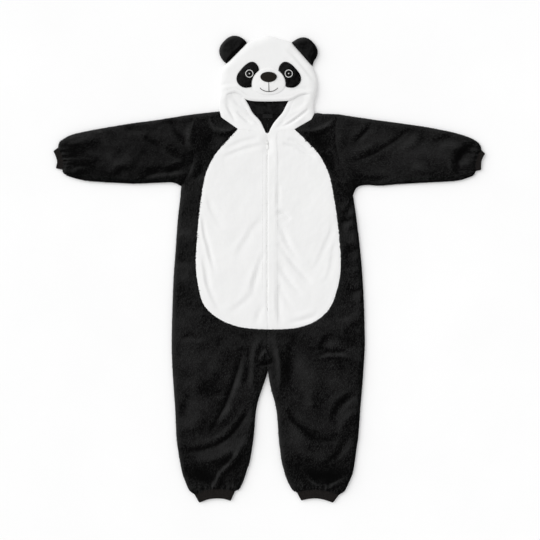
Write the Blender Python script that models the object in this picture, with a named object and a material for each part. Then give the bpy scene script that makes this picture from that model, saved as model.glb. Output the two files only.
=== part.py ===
"""A child's panda onesie, laid flat with its front up.

Metres, +Z up, +Y towards the hood, left and right as seen from above. The origin is on the surface that the
garment lies on, under the middle of its outline. Tables of the garment's outline and seams are in millimetres.
"""

from math import cos, exp, hypot, pi, radians, sin, sqrt

import bmesh
import bpy
import numpy as np
from mathutils import Vector

MM = 0.001

# Cloth and layers, in millimetres
WALL = 3.0  # plush fleece with its pile
RIB_WALL = 2.4
LINING_WALL = 2.0
HOOD_WALL = 5.5  # the hood's front is two layers of fleece
SEAM_GAP = 0.3
SEAM_HEIGHT = 4.5  # side seams and folds lie halfway up the garment
FRONT_ROUND = 14.0  # how far in the front rises from its outline
BACK_ROUND = 10.0
HOOD_ROUND = 20.0
EDGE_LIFT, MIDDLE_LIFT, LIFT_REACH = 9.2, 10.0, 90.0
SEAM_DIP, SEAM_DIP_WIDTH = 1.0, 6.0
LEAST_LIFT = 7.2  # the front's outer face stays clear of the back under its deepest trough
FLAP_LIFT = 8.8
FACE_LIFT, RIM_LIFT, RIM_REACH = 12.4, 14.8, 60.0
EDGE_COLUMNS = (0.0, 2.5, 9.0)  # distances from a panel's edge of its first columns

ZIP_X = -6.0
ZIP_SLOT = 3.9  # half the width of the slot between the two halves of the belly
ZIP_END = -115.0
ZIP_TAPE = 12.0
TAPE_WALL = 1.0
BACK_NECK_Y = 435.0
CENTRE_X = -4.0  # centre front and centre back seams

# Outline and seams, each a list of (x, y) from top to bottom or from the body outwards
ARMHOLE = {
    "left": [(-211, 433), (-218, 389), (-215, 343), (-211, 312), (-223, 271), (-246, 232)],
    "right": [(190, 433), (184, 389), (186, 344), (197, 299), (216, 254), (234, 207)],
}
NECK_SIDE = {"left": (-135, 435), "right": (121, 435)}
BELLY_CORNER = {"left": (-94, 398), "right": (80, 397)}
SLOPE_END = {"left": (-9.9, 381), "right": (-2.1, 381)}  # the neck seam meets the zip
SIDE = {
    "left": [
        (-246, 232), (-248, 215), (-249, 198), (-256, 137), (-262, 53), (-268, -31), (-271, -115), (-273, -199),
        (-272, -255), (-268, -325), (-263, -395), (-260, -465), (-255, -507), (-245, -563), (-236, -591),
        (-224, -618), (-209, -630),
    ],
    "right": [
        (234, 207), (237, 187), (244, 137), (254, 53), (261, -31), (265, -115), (267, -199), (265, -255),
        (260, -325), (254, -395), (249, -465), (243, -507), (235, -563), (225, -591), (211, -619), (195, -631),
    ],
}
INNER_LEG = {
    "left": [
        (-4, -284), (-12, -311), (-22, -339), (-31, -367), (-37, -395), (-41, -437), (-45, -479), (-54, -535),
        (-63, -563), (-72, -591), (-84, -614), (-96, -621),
    ],
    "right": [
        (-4, -284), (0, -311), (6, -339), (14, -367), (20, -395), (24, -437), (27, -479), (34, -535),
        (41, -563), (50, -591), (64, -616), (77, -624),
    ],
}
BELLY_EDGE = {
    "left": [
        (-94, 398), (-102, 377), (-123, 352), (-150, 320), (-168, 288), (-180, 254), (-190, 198), (-197, 137),
        (-202, 81), (-205, 19), (-201, -31), (-188, -87), (-166, -119), (-130, -144), (-87, -160), (-45, -166),
        (-4, -168),
    ],
    "right": [
        (80, 397), (87, 377), (109, 353), (137, 321), (156, 288), (169, 254), (180, 198), (189, 137),
        (195, 81), (199, 19), (195, -31), (179, -87), (160, -119), (130, -144), (97, -158), (57, -166),
        (-4, -168),
    ],
}
SLEEVE_TOP = {
    "left": [
        (-211, 433), (-256, 426), (-312, 417), (-379, 408), (-447, 397), (-503, 387), (-536, 380), (-559, 373),
        (-575, 364), (-587, 354), (-591, 339),
    ],
    "right": [
        (190, 433), (242, 425), (304, 416), (371, 407), (444, 396), (505, 384), (539, 375), (561, 367),
        (578, 358), (589, 347), (593, 333),
    ],
}
SLEEVE_UNDER = {
    "left": [
        (-246, 232), (-270, 242), (-318, 241), (-379, 239), (-447, 242), (-503, 246), (-533, 251), (-554, 257),
        (-568, 263), (-576, 269), (-578, 278),
    ],
    "right": [
        (234, 207), (245, 228), (270, 235), (309, 233), (371, 238), (444, 242), (503, 245), (535, 249),
        (557, 256), (571, 263), (577, 274),
    ],
}
WRIST_SEAM = {
    "left": [(-591, 339), (-582, 326), (-576, 309), (-573, 293), (-578, 278)],
    "right": [(593, 333), (584, 322), (578, 306), (575, 290), (577, 274)],
}
WRIST_EDGE = {
    "left": [(-603.5, 330), (-597, 316), (-593, 302), (-594, 292), (-597, 282)],
    "right": [(603.5, 323), (597, 312), (593, 301), (592, 289), (592, 277)],
}
ANKLE_SEAM = {
    "left": [(-209, -630), (-183, -618), (-153, -613), (-122, -615), (-96, -621)],
    "right": [(195, -631), (167, -621), (136, -615), (105, -617), (77, -624)],
}
ANKLE_EDGE = {
    "left": [(-196, -653), (-172, -644), (-151, -641), (-128, -642), (-108, -648)],
    "right": [(178, -653), (155, -645), (133, -641), (111, -642), (89, -647)],
}
HOOD_SIDE = {
    "left": [(-119, 574), (-128, 553), (-133, 529), (-134, 501), (-132, 470), (-134, 450), (-135, 435)],
    "right": [(120, 567), (130, 540), (134, 517), (132, 492), (125, 461), (122, 445), (121, 435)],
}
EAR_BASE = {"left": ((-119, 574), (-62, 632)), "right": ((62, 633), (120, 567))}
HOOD_TOP = [(-62, 632), (-35, 644), (-2, 653), (32, 645), (62, 633)]
RIM = [
    (-133, 491), (-122, 495), (-108, 498), (-95, 495), (-83, 487), (-69, 476), (-45, 472), (-1, 472),
    (38, 473), (59, 476), (74, 484), (101, 491), (131, 489),
]
NECK_OPENING = {  # edges of the hood's sides, from the rim to the top of the zip
    "left": [(-62, 473), (-51, 454), (-42, 436), (-25, 414), (-15, 393), (-9.9, 381)],
    "right": [(52, 474), (42, 454), (32, 436), (11, 411), (2, 393), (-2.1, 381)],
}

# The largest soft folds: start, end, sideways bend, half-width and rise (a trough where it is negative)
FOLDS = [
    # belly
    (-18, 150, -88, 30, 12, 13, -1.6), (-10, 44, -55, -93, -14, 11, -2.2), (-180, 165, -160, -10, 14, 12, -2.2),
    (-172, 212, -146, 150, 0, 12, -1.4), (-197, 44, -144, -116, -10, 13, 1.6), (-74, -45, -119, -109, 6, 12, 1.4),
    (20, 137, 66, 58, -6, 12, -1.8), (20, 81, 104, -37, -10, 13, -2.0), (20, 25, 94, -82, -10, 12, 1.6),
    (21, -87, 29, -157, 0, 9, -2.0), (169, 128, 141, 33, 6, 12, 1.5), (-27, 352, -120, 318, -6, 14, 1.4),
    (38, 361, 127, 313, 6, 13, -1.3), (40, -140, 125, -118, 4, 11, 1.3),
    # shoulders and chest
    (-214, 415, -206, 325, 5, 12, 1.6), (140, 398, 195, 416, 10, 12, 1.6), (85, 389, 142, 394, -8, 10, -1.4),
    (-167, 416, -110, 393, -14, 10, 1.3),
    # crotch and legs
    (-52, -225, -60, -308, 5, 11, 2.0), (27, -222, 35, -325, -5, 11, 2.0), (-77, -227, -179, -482, 10, 14, -2.0),
    (-60, -376, -228, -499, -28, 13, 2.0), (-85, -502, -155, -591, 8, 13, 2.0), (-237, -197, -196, -206, 0, 12, 1.2),
    (55, -406, 182, -491, 26, 13, -2.2), (235, -350, 174, -437, 8, 13, 1.6), (178, -174, 150, -202, 0, 12, 1.4),
    (141, -253, 244, -253, -8, 12, 1.4), (219, -457, 144, -547, 10, 13, 1.6), (88, -552, 206, -598, 26, 12, 2.2),
    (43, -211, 46, -342, 0, 12, -1.5),
    # sleeves
    (-348, 361, -298, 330, 0, 13, 1.6), (-357, 254, -217, 271, 10, 12, 2.0), (-273, 319, -217, 285, 4, 12, -1.6),
    (281, 411, 234, 352, -4, 12, 1.6), (393, 397, 217, 299, -10, 13, -1.8), (575, 352, 514, 268, -12, 12, -1.6),
    (-560, 330, -470, 350, 6, 12, 1.5), (-560, 300, -480, 290, 0, 12, 1.4),
]
FOLD_STRENGTH = 1.3

BLACK = (0.012, 0.012, 0.013)
RIB_BLACK = (0.016, 0.015, 0.015)
WHITE = (0.83, 0.83, 0.82)
NOSE_BROWN = (0.020, 0.012, 0.010)
ZIP_WHITE = (0.80, 0.80, 0.78)


# ---------------------------------------------------------------------------------------------- plane curves
def smooth(points, steps=8):
    """A polyline on the smooth curve through the points, with this many steps in each span or in every one."""
    counts = steps if isinstance(steps, tuple) else (steps,) * (len(points) - 1)
    ends = [tuple(2 * a - b for a, b in zip(points[0], points[1]))]
    ends += list(points) + [tuple(2 * a - b for a, b in zip(points[-1], points[-2]))]
    line = []
    for count, a, b, c, d in zip(counts, ends, ends[1:], ends[2:], ends[3:]):
        for k in range(count):
            t = k / count
            line.append(tuple(
                0.5 * (2 * q + (r - p) * t + (2 * p - 5 * q + 4 * r - s) * t * t + (3 * q - p - 3 * r + s) * t**3)
                for p, q, r, s in zip(a, b, c, d)
            ))
    return line + [tuple(points[-1])]


def lengths(line):
    """Distance along the polyline to each of its points."""
    total = [0.0]
    for a, b in zip(line, line[1:]):
        total.append(total[-1] + hypot(b[0] - a[0], b[1] - a[1]))
    return total


def along(line, fractions):
    """Points at these fractions of the polyline's length."""
    total = lengths(line)
    wanted = [f * total[-1] for f in fractions]
    return list(zip(*(np.interp(wanted, total, [p[k] for p in line]).tolist() for k in (0, 1))))


def even(count, start=0.0, end=1.0):
    """count + 1 even steps from start to end."""
    return [start + (end - start) * k / count for k in range(count + 1)]


def edge_fractions(length, middle):
    """Fractions across a panel of this width: close together at both edges, even between them."""
    near = [d / length for d in EDGE_COLUMNS]
    inner = even(middle, near[-1], 1 - near[-1])[1:-1]
    return near + inner + [1 - f for f in reversed(near)]


def shifted(line, amounts):
    """The polyline moved to its own left, each point by its amount, with mitred corners."""
    moved = []
    for k, (x, y) in enumerate(line):
        before, after = line[max(k - 1, 0)], line[min(k + 1, len(line) - 1)]
        sides = []
        for a, b in ((before, (x, y)), ((x, y), after)):
            run = hypot(b[0] - a[0], b[1] - a[1])
            if run:
                sides.append(Vector((a[1] - b[1], b[0] - a[0])) / run)
        normal = (sides[0] + sides[-1]).normalized()
        reach = amounts[k] / max(normal.dot(sides[0]), 0.5)
        moved.append((x + normal.x * reach, y + normal.y * reach))
    return moved


def outline():
    """The garment's outline without its ears and cuffs, as the segments' two ends."""
    upper = smooth(SLEEVE_TOP["left"])[::-1] + [NECK_SIDE["left"]] + smooth(HOOD_SIDE["left"])[::-1]
    upper += smooth(HOOD_TOP) + smooth(HOOD_SIDE["right"]) + [NECK_SIDE["right"]] + smooth(SLEEVE_TOP["right"])
    runs = [upper, smooth(INNER_LEG["left"])[::-1] + smooth(INNER_LEG["right"])]
    for side in ("left", "right"):
        runs.append(smooth(SLEEVE_UNDER[side])[::-1] + smooth(SIDE[side]))
    pairs = [(a, b) for run in runs for a, b in zip(run, run[1:]) if a != b]
    return np.array([a for a, _ in pairs]), np.array([b for _, b in pairs])


def distance(point, starts, ends):
    """Distance from the point to the nearest segment."""
    p = np.array(point)
    run = ends - starts
    t = np.clip(((p - starts) * run).sum(1) / (run * run).sum(1), 0, 1)
    away = p - starts - run * t[:, None]
    return float(np.sqrt((away * away).sum(1).min()))


OUTLINE = outline()


def to_outline(point):
    return distance(point, *OUTLINE)


# ------------------------------------------------------------------------------------------- heights of cloth
def seam_segments():
    lines = [[(CENTRE_X, -168), (CENTRE_X, -284)]]
    for side in ("left", "right"):
        lines += [smooth(BELLY_EDGE[side]), smooth(ARMHOLE[side]), [NECK_SIDE[side], BELLY_CORNER[side]]]
        lines.append([BELLY_CORNER[side], SLOPE_END[side]])
    pairs = [(a, b) for line in lines for a, b in zip(line, line[1:])]
    return np.array([a for a, _ in pairs]), np.array([b for _, b in pairs])


SEAMS = seam_segments()


def fold_rise(x, y):
    """The soft folds' rise here."""
    rise = 0.0
    for x0, y0, x1, y1, bend, width, height in FOLDS:
        run = hypot(x1 - x0, y1 - y0)
        ux, uy = (x1 - x0) / run, (y1 - y0) / run
        t = ((x - x0) * ux + (y - y0) * uy) / run
        if -0.1 < t < 1.1:
            t = min(max(t, 0.0), 1.0)
            off = (y - y0) * ux - (x - x0) * uy - bend * 4 * t * (1 - t)
            rise += FOLD_STRENGTH * height * sqrt(sin(pi * t)) * exp(-((off / width) ** 2))
    return rise


def front_lift(x, y, d):
    """Height of the front's outer face away from its outline."""
    lift = EDGE_LIFT + (MIDDLE_LIFT - EDGE_LIFT) * min(d / LIFT_REACH, 1.0)
    seam = distance((x, y), *SEAMS)
    lift += fold_rise(x, y) - SEAM_DIP * exp(-((seam / SEAM_DIP_WIDTH) ** 2))
    return max(lift, LEAST_LIFT)


def flap_lift(x, y, d):
    return FLAP_LIFT


def rim_row():
    """The rim's points, shared by the hood's front and the sides under it."""
    line = smooth(RIM)
    return along(line, edge_fractions(lengths(line)[-1], HOOD_MIDDLE))


def rim_height(x):
    row = rim_row()
    return float(np.interp(x, [p[0] for p in row], [p[1] for p in row]))


def face_lift(x, y, d):
    """The hood's front is highest at its rim, over the hood's sides."""
    near = min(max(1 - (y - rim_height(x)) / RIM_REACH, 0.0), 1.0)
    return FACE_LIFT + (RIM_LIFT - FACE_LIFT) * near * near * (3 - 2 * near)


def upper_wall(point, d, way, wall, lift, reach=FRONT_ROUND):
    """Outer and inner points of a cloth that rises from the side seam to its height."""
    c = max(0.0, 1 - d / reach)
    s = sqrt(1 - c * c)
    z = SEAM_HEIGHT + SEAM_GAP / 2 + (lift(*point, d) - SEAM_HEIGHT) * s
    return (*point, z), (point[0] + way.x * wall * c, point[1] + way.y * wall * c, z - wall * s)


def lower_wall(point, d, way, wall):
    """Outer and inner points of a cloth that lies on the surface and turns up to the side seam."""
    c = max(0.0, 1 - d / BACK_ROUND)
    s = sqrt(1 - c * c)
    z = (SEAM_HEIGHT - SEAM_GAP / 2) * (1 - s)
    return (*point, z), (point[0] + way.x * wall * c, point[1] + way.y * wall * c, z + wall * s)


def ways_in(rows):
    """For each point of a grid, its distance from the outline and the grid's direction that leads inwards."""
    depths = [[to_outline(p) for p in row] for row in rows]
    ways = []
    for i, row in enumerate(rows):
        line = []
        for j, point in enumerate(row):
            best, steepest = Vector((0, 0)), -9.0
            for m, n in ((i - 1, j), (i + 1, j), (i, j - 1), (i, j + 1)):
                if 0 <= m < len(rows) and 0 <= n < len(row):
                    step = Vector(rows[m][n]) - Vector(point)
                    climb = (depths[m][n] - depths[i][j]) / step.length
                    if climb > steepest:
                        best, steepest = step.normalized(), climb
            line.append((depths[i][j], best))
        ways.append(line)
    return ways


# -------------------------------------------------------------------------------------------------- panels
def grid(lefts, rights, middle, top=None, bottom=None):
    """Rows of points from each left point to its right one, bent to a curved top or bottom row."""
    last = len(lefts) - 1
    bends, shares = [], []
    for row, a, b in ((top, lefts[0], rights[0]), (bottom, lefts[-1], rights[-1])):
        if row is None:
            bends.append(None)
            shares.append(None)
            continue
        total = lengths(row)
        share = [t / total[-1] for t in total]
        shares.append(share)
        bends.append([
            (p[0] - a[0] - (b[0] - a[0]) * u, p[1] - a[1] - (b[1] - a[1]) * u) for p, u in zip(row, share)
        ])
    rows = []
    for i, (a, b) in enumerate(zip(lefts, rights)):
        v = i / last
        fractions = edge_fractions(hypot(b[0] - a[0], b[1] - a[1]), middle)
        row = []
        for j, u in enumerate(fractions):
            if shares[0]:
                u += (shares[0][j] - u) * (1 - v) ** 2
            if shares[1]:
                u += (shares[1][j] - u) * v**2
            x, y = a[0] + (b[0] - a[0]) * u, a[1] + (b[1] - a[1]) * u
            if bends[0]:
                x, y = x + bends[0][j][0] * (1 - v), y + bends[0][j][1] * (1 - v)
            if bends[1]:
                x, y = x + bends[1][j][0] * v, y + bends[1][j][1] * v
            row.append((x, y))
        rows.append(row)
    return rows


def solid(name, points, faces, colour, roughness=0.9, origin=(0, 0, 0)):
    """One closed object from points in millimetres, its faces turned outwards, about its own origin."""
    mesh = bpy.data.meshes.new(name)
    mesh.from_pydata([(Vector(p) - Vector(origin)) * MM for p in points], [], faces)
    shape = bmesh.new()
    shape.from_mesh(mesh)
    bmesh.ops.triangulate(shape, faces=shape.faces, quad_method="BEAUTY", ngon_method="BEAUTY")
    bmesh.ops.recalc_face_normals(shape, faces=shape.faces)
    shape.to_mesh(mesh)
    shape.free()
    mesh.shade_smooth()
    mesh.set_sharp_from_angle(angle=radians(50))
    part = bpy.data.objects.new(name, mesh)
    part.location = Vector(origin) * MM
    bpy.context.scene.collection.objects.link(part)
    material = bpy.data.materials.new(name)
    material.use_nodes = True
    shader = material.node_tree.nodes["Principled BSDF"]
    shader.inputs["Base Color"].default_value = (*colour, 1.0)
    shader.inputs["Roughness"].default_value = roughness
    mesh.materials.append(material)
    return part


def panel(name, rows, wall_of, colour):
    """A cloth panel: its outer and inner faces over the rows of points, joined around its edge."""
    high, wide = len(rows), len(rows[0])
    pairs = [wall_of(p, *way) for row, line in zip(rows, ways_in(rows)) for p, way in zip(row, line)]
    outer, inner = [a for a, _ in pairs], [b for _, b in pairs]
    base = high * wide
    faces = []
    for i in range(high - 1):
        for j in range(wide - 1):
            k = i * wide + j
            faces.append((k, k + 1, k + wide + 1, k + wide))
            faces.append((base + k, base + k + wide, base + k + wide + 1, base + k + 1))
    rim = [j for j in range(wide)] + [i * wide + wide - 1 for i in range(1, high)]
    rim += [(high - 1) * wide + j for j in range(wide - 2, -1, -1)] + [i * wide for i in range(high - 2, 0, -1)]
    for a, b in zip(rim, rim[1:] + rim[:1]):
        faces.append((b, a, base + a, base + b))
    return solid(name, outer + inner, faces, colour)


def tube(name, outer_rings, inner_rings, colour):
    """A cloth tube open at both ends, from its outer and inner rings."""
    count, turn = len(outer_rings), len(outer_rings[0])
    points = [p for ring in outer_rings + inner_rings for p in ring]
    base = count * turn
    faces = []
    for j in range(turn):
        after = (j + 1) % turn
        for i in range(count - 1):
            a, b = i * turn, (i + 1) * turn
            faces.append((a + j, a + after, b + after, b + j))
            faces.append((base + a + j, base + b + j, base + b + after, base + a + after))
        last = (count - 1) * turn
        faces.append((after, j, base + j, base + after))
        faces.append((last + j, last + after, base + last + after, base + last + j))
    return solid(name, points, faces, colour)


# ------------------------------------------------------------------------------------------- body and belly
NECK_STEPS = (0.0, 0.05, 0.18, 0.45, 0.72, 1.0)
ARMHOLE_MIDDLE = 8  # even steps between the armhole's close ones
BELLY_SIDE_STEPS, BELLY_FOOT_STEPS, CENTRE_STEPS, LEG_STEPS = 14, 9, 3, 12
BACK_LEG_STEPS = 9
BACK_FLANK_STEPS = 4  # steps of the back between the armhole and the crotch
LEG_MIDDLE, BELLY_MIDDLE = 6, 5
SLEEVE_STEPS = (1, 2, 2, 2, 2, 1, 1, 1, 1, 1)


def armhole(side):
    """The armhole's points, shared by the sleeve and by both body panels."""
    line = smooth(ARMHOLE[side])
    return along(line, edge_fractions(lengths(line)[-1], ARMHOLE_MIDDLE))


def belly_edge(side):
    return along(smooth(BELLY_EDGE[side]), even(BELLY_SIDE_STEPS + BELLY_FOOT_STEPS))


def sided(side, amount):
    """A shift to the left of a line that runs down: towards +X, so away from the middle on the right."""
    return amount if side == "right" else -amount


def seam_line(side, line, amount, free=0):
    """The line moved sideways by amount, its last points but those of its free end staying put."""
    amounts = [sided(side, amount)] * (len(line) - free) + [0.0] * free
    return shifted(line, amounts)


def outer_edge(side, steps):
    """A body panel's outer edge: the armhole, then the side down to the ankle."""
    arm = armhole(side)
    flank = along(smooth(SIDE[side]), even(steps - len(arm) + 1))[1:]
    return seam_line(side, arm, -SEAM_GAP / 2) + flank


def make_front(side):
    neck = along([NECK_SIDE[side], BELLY_CORNER[side]], NECK_STEPS)
    edge = belly_edge(side)
    centre = along([edge[-1], INNER_LEG[side][0]], even(CENTRE_STEPS))
    leg = along(smooth(INNER_LEG[side]), even(LEG_STEPS))[1:]
    inner = seam_line(side, neck + edge[1:] + centre[1:] + leg, SEAM_GAP / 2, len(leg))
    outer = outer_edge(side, len(inner) - 1)
    foot = fit_row(seam_row(ANKLE_SEAM[side], LEG_MIDDLE), outer[-1], inner[-1])
    rows = grid(outer, inner, LEG_MIDDLE, bottom=foot)
    return panel(f"front_{side}", rows, lambda *at: upper_wall(*at, WALL, front_lift), BLACK)


def fit_row(row, first, last):
    """The row with its end points replaced."""
    return [first] + row[1:-1] + [last]


def seam_row(points, middle):
    """A cuff's seam in the same columns as the cloth that it is sewn to."""
    line = smooth(points)
    return along(line, edge_fractions(lengths(line)[-1], middle))


def make_back(side):
    crotch = INNER_LEG[side][0]
    centre = along([(CENTRE_X, BACK_NECK_Y), crotch], even(len(armhole(side)) + BACK_FLANK_STEPS))
    leg = along(smooth(INNER_LEG[side]), even(BACK_LEG_STEPS))[1:]
    inner = seam_line(side, centre + leg, SEAM_GAP / 2, len(leg))
    outer = outer_edge(side, len(inner) - 1)
    foot = fit_row(seam_row(ANKLE_SEAM[side], LEG_MIDDLE), outer[-1], inner[-1])
    shoulder = [outer[0], NECK_SIDE[side], inner[0]]
    top = fit_row(along(shoulder, edge_fractions(lengths(shoulder)[-1], LEG_MIDDLE)), outer[0], inner[0])
    rows = grid(outer, inner, LEG_MIDDLE, top=top, bottom=foot)
    return panel(f"back_{side}", rows, lambda *at: lower_wall(*at, WALL), BLACK)


def make_belly(side):
    edge = seam_line(side, belly_edge(side), -SEAM_GAP / 2)
    slot = ZIP_X + sided(side, ZIP_SLOT)
    seam = CENTRE_X + sided(side, SEAM_GAP / 2)
    foot = edge[BELLY_SIDE_STEPS:]
    foot[-1] = (seam, foot[-1][1])
    drop = even(BELLY_SIDE_STEPS - 2, SLOPE_END[side][1], ZIP_END + 0.5)
    inner = [(slot, y) for y in drop] + [(seam, ZIP_END - 0.5), foot[-1]]
    rows = grid(edge[: BELLY_SIDE_STEPS + 1], inner, BELLY_MIDDLE, bottom=foot)
    return panel(f"belly_{side}", rows, lambda *at: upper_wall(*at, WALL, front_lift), WHITE)


# ---------------------------------------------------------------------------------------- sleeves and cuffs
GATHERS, GATHER_RISE, GATHER_REACH = 4, 1.2, 60.0
WRIST_WIDTH = 62.0


def sleeve_lift(wrist):
    """The front's height with gathers near the wrist, fading up the sleeve."""
    def lift(x, y, d):
        near = max(0.0, 1 - hypot(x - wrist[0], y - wrist[1]) / GATHER_REACH)
        wave = cos(2 * pi * GATHERS * (y - wrist[1]) / WRIST_WIDTH)
        return max(front_lift(x, y, d) + GATHER_RISE * near * wave, LEAST_LIFT)
    return lift


def make_sleeve(side):
    """A one-piece sleeve: front rows from its fold to its under seam, then the back rows."""
    arm = seam_line(side, armhole(side), SEAM_GAP / 2)
    wrist = seam_row(WRIST_SEAM[side], ARMHOLE_MIDDLE)
    tops = smooth(SLEEVE_TOP[side], SLEEVE_STEPS)[1:]
    unders = smooth(SLEEVE_UNDER[side], SLEEVE_STEPS)[1:]
    rows = grid([arm[0]] + tops, [arm[-1]] + unders, ARMHOLE_MIDDLE, top=arm, bottom=wrist)
    lift = sleeve_lift(wrist[len(wrist) // 2])
    outer_rings, inner_rings = [], []
    for row, line in zip(rows, ways_in(rows)):
        pairs = [upper_wall(p, *way, WALL, lift) for p, way in zip(row, line)]
        pairs += [lower_wall(p, *way, WALL) for p, way in list(zip(row, line))[-2:0:-1]]
        outer_rings.append([a for a, _ in pairs])
        inner_rings.append([b for _, b in pairs])
    return tube(f"sleeve_{side}", outer_rings, inner_rings, BLACK)


CUFF_HEIGHT = 7.8
CUFF_GAP = 0.4
RIB_RISE = 0.5
WRIST_RIBS, ANKLE_RIBS = 24, 36


def cuff_ring(line, ribs):
    """Outer and inner ring of a flat rib cuff along this line, its ribs raised on the outside only."""
    total = lengths(line)[-1]
    half, wide = CUFF_HEIGHT / 2, total / 2
    outer, inner = [], []
    for k in range(2 * ribs):
        turn = 2 * pi * (k + 0.5) / (2 * ribs)
        across, up = cos(turn), sin(turn)
        bulk = (abs(across) ** 4 + abs(up) ** 4) ** -0.25  # a flat oval with full ends
        for ring, inset in ((outer, 0.0 if k % 2 else RIB_RISE), (inner, RIB_WALL + RIB_RISE)):
            reach = (wide - inset) * across * bulk
            x, y = along(line, [0.5 + reach / total])[0]
            ring.append((x, y, half + (half - inset) * up * bulk))
    return outer, inner


def make_cuff(name, row, edge, ribs):
    """A cuff from its seam, on the gathered cloth's last row, to its free edge."""
    total = lengths(row)
    edge = along(smooth(edge), [t / total[-1] for t in total])
    top = [Vector(a).lerp(Vector(b), CUFF_GAP / (Vector(b) - Vector(a)).length) for a, b in zip(row, edge)]
    rings = [cuff_ring([tuple(p) for p in line], ribs) for line in (top, edge)]
    return tube(name, [r[0] for r in rings], [r[1] for r in rings], RIB_BLACK)


# ------------------------------------------------------------------------------------------------------ hood
HOOD_ROWS, HOOD_MIDDLE, FLAP_ROWS = 9, 10, 6
CROWN_STEPS = HOOD_MIDDLE - 4  # the rest of the dome's steps are at the ears' feet
EAR_FOOT_MIDDLE = 0.55
RIM_GAP = 0.9  # the rim's corners and those of the sides under it differ by about 0.5


def dome():
    """The hood's upper outline: an ear's straight foot, the round top, the other ear's foot."""
    left, right = EAR_BASE["left"], EAR_BASE["right"]
    steps = [d / (Vector(left[1]) - Vector(left[0])).length for d in EDGE_COLUMNS]
    steps += [EAR_FOOT_MIDDLE, 1.0]
    crown = along(smooth(HOOD_TOP), even(CROWN_STEPS))
    return along(left, steps) + crown[1:-1] + along(right, [1 - t for t in reversed(steps)])


def hood_outline(side, top, foot):
    """The hood's outline on one side between two heights."""
    line = smooth(HOOD_SIDE[side])[::-1]
    ends = [(float(np.interp(y, [p[1] for p in line], [p[0] for p in line])), y) for y in (top, foot)]
    return [ends[0]] + [p for p in reversed(line) if foot < p[1] < top] + [ends[1]]


def hood_sides(foot_left, foot_right):
    """The hood's two side outlines down to these heights, their rows close together at the top."""
    sides = []
    for side, foot in (("left", foot_left), ("right", foot_right)):
        line = hood_outline(side, HOOD_SIDE[side][0][1], foot)
        close = [d / lengths(line)[-1] for d in EDGE_COLUMNS]
        sides.append(along(line, close + even(HOOD_ROWS - 2, close[-1], 1.0)[1:]))
    return sides


def make_hood_back():
    left, right = hood_sides(BACK_NECK_Y + SEAM_GAP, BACK_NECK_Y + SEAM_GAP)
    rows = grid(left, right, HOOD_MIDDLE, top=dome())
    return panel("hood_back", rows, lambda *at: lower_wall(*at, WALL), WHITE)


def make_hood_face():
    left, right = hood_sides(RIM[0][1], RIM[-1][1])
    rows = grid(left, right, HOOD_MIDDLE, top=dome(), bottom=fit_row(rim_row(), left[-1], right[-1]))
    return panel("hood_face", rows, lambda *at: upper_wall(*at, HOOD_WALL, face_lift, HOOD_ROUND), WHITE)


LINING_TOP, LINING_TOP_HALF, LINING_FOOT_HALF, LINING_STEPS = 500.0, 96.0, 80.0, 5


def make_hood_lining():
    """The black lining inside the hood's back, seen in the neck opening."""
    low, z = BACK_NECK_Y + SEAM_GAP, WALL + SEAM_GAP
    lefts = []
    for t in even(LINING_STEPS):
        half = LINING_TOP_HALF + (LINING_FOOT_HALF - LINING_TOP_HALF) * t
        lefts.append((CENTRE_X - half, LINING_TOP + (low - LINING_TOP) * t))
    rights = [(2 * CENTRE_X - x, y) for x, y in lefts]
    rows = grid(lefts, rights, LINING_STEPS)
    return panel("hood_lining", rows, lambda p, *_: ((*p, z + LINING_WALL), (*p, z)), BLACK)


SHOULDER_STEPS, SLOPE_STEPS = 3, 5  # steps of the neck seam on the shoulder and down to the zip


def make_flap(side):
    """A lower side of the hood, between its rim, the neck seam and the neck opening."""
    rim_end = RIM[0 if side == "left" else -1]
    outer = along(hood_outline(side, rim_end[1] - RIM_GAP, BACK_NECK_Y + SEAM_GAP), even(FLAP_ROWS))
    opening = smooth(NECK_OPENING[side])
    below_rim = [p for p in opening if p[1] < opening[0][1] - 2 * RIM_GAP]
    inner = along([(opening[0][0], opening[0][1] - RIM_GAP)] + below_rim, even(FLAP_ROWS))
    neck = along([NECK_SIDE[side], BELLY_CORNER[side]], even(SHOULDER_STEPS))[:-1]
    neck += along([BELLY_CORNER[side], SLOPE_END[side]], even(SLOPE_STEPS))
    neck = [outer[-1]] + [(x, y + SEAM_GAP) for x, y in neck[1:]]
    inner[-1] = neck[-1]
    rim = [(x, rim_height(x) - RIM_GAP) for x in even(len(neck) - 1, outer[0][0], inner[0][0])]
    rim = fit_row(rim, outer[0], inner[0])
    rows = grid(outer, inner, len(neck) - 5, top=rim, bottom=neck)
    return panel(f"hood_flap_{side}", rows, lambda *at: upper_wall(*at, WALL, flap_lift), WHITE)


EAR_HEIGHT, EAR_HALF, EAR_REACH, EAR_POWER, EAR_ROUND = 10.0, 43.0, 50.8, 2.5, 16.0
EAR_STEPS, EAR_INSETS = 20, (0.0, 2.5, 8.0, EAR_ROUND)
EAR_FOOT = 12.0  # the ear narrows to its seam over this
EAR_HEART = 0.45  # its rows close in on this share of its reach


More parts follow.
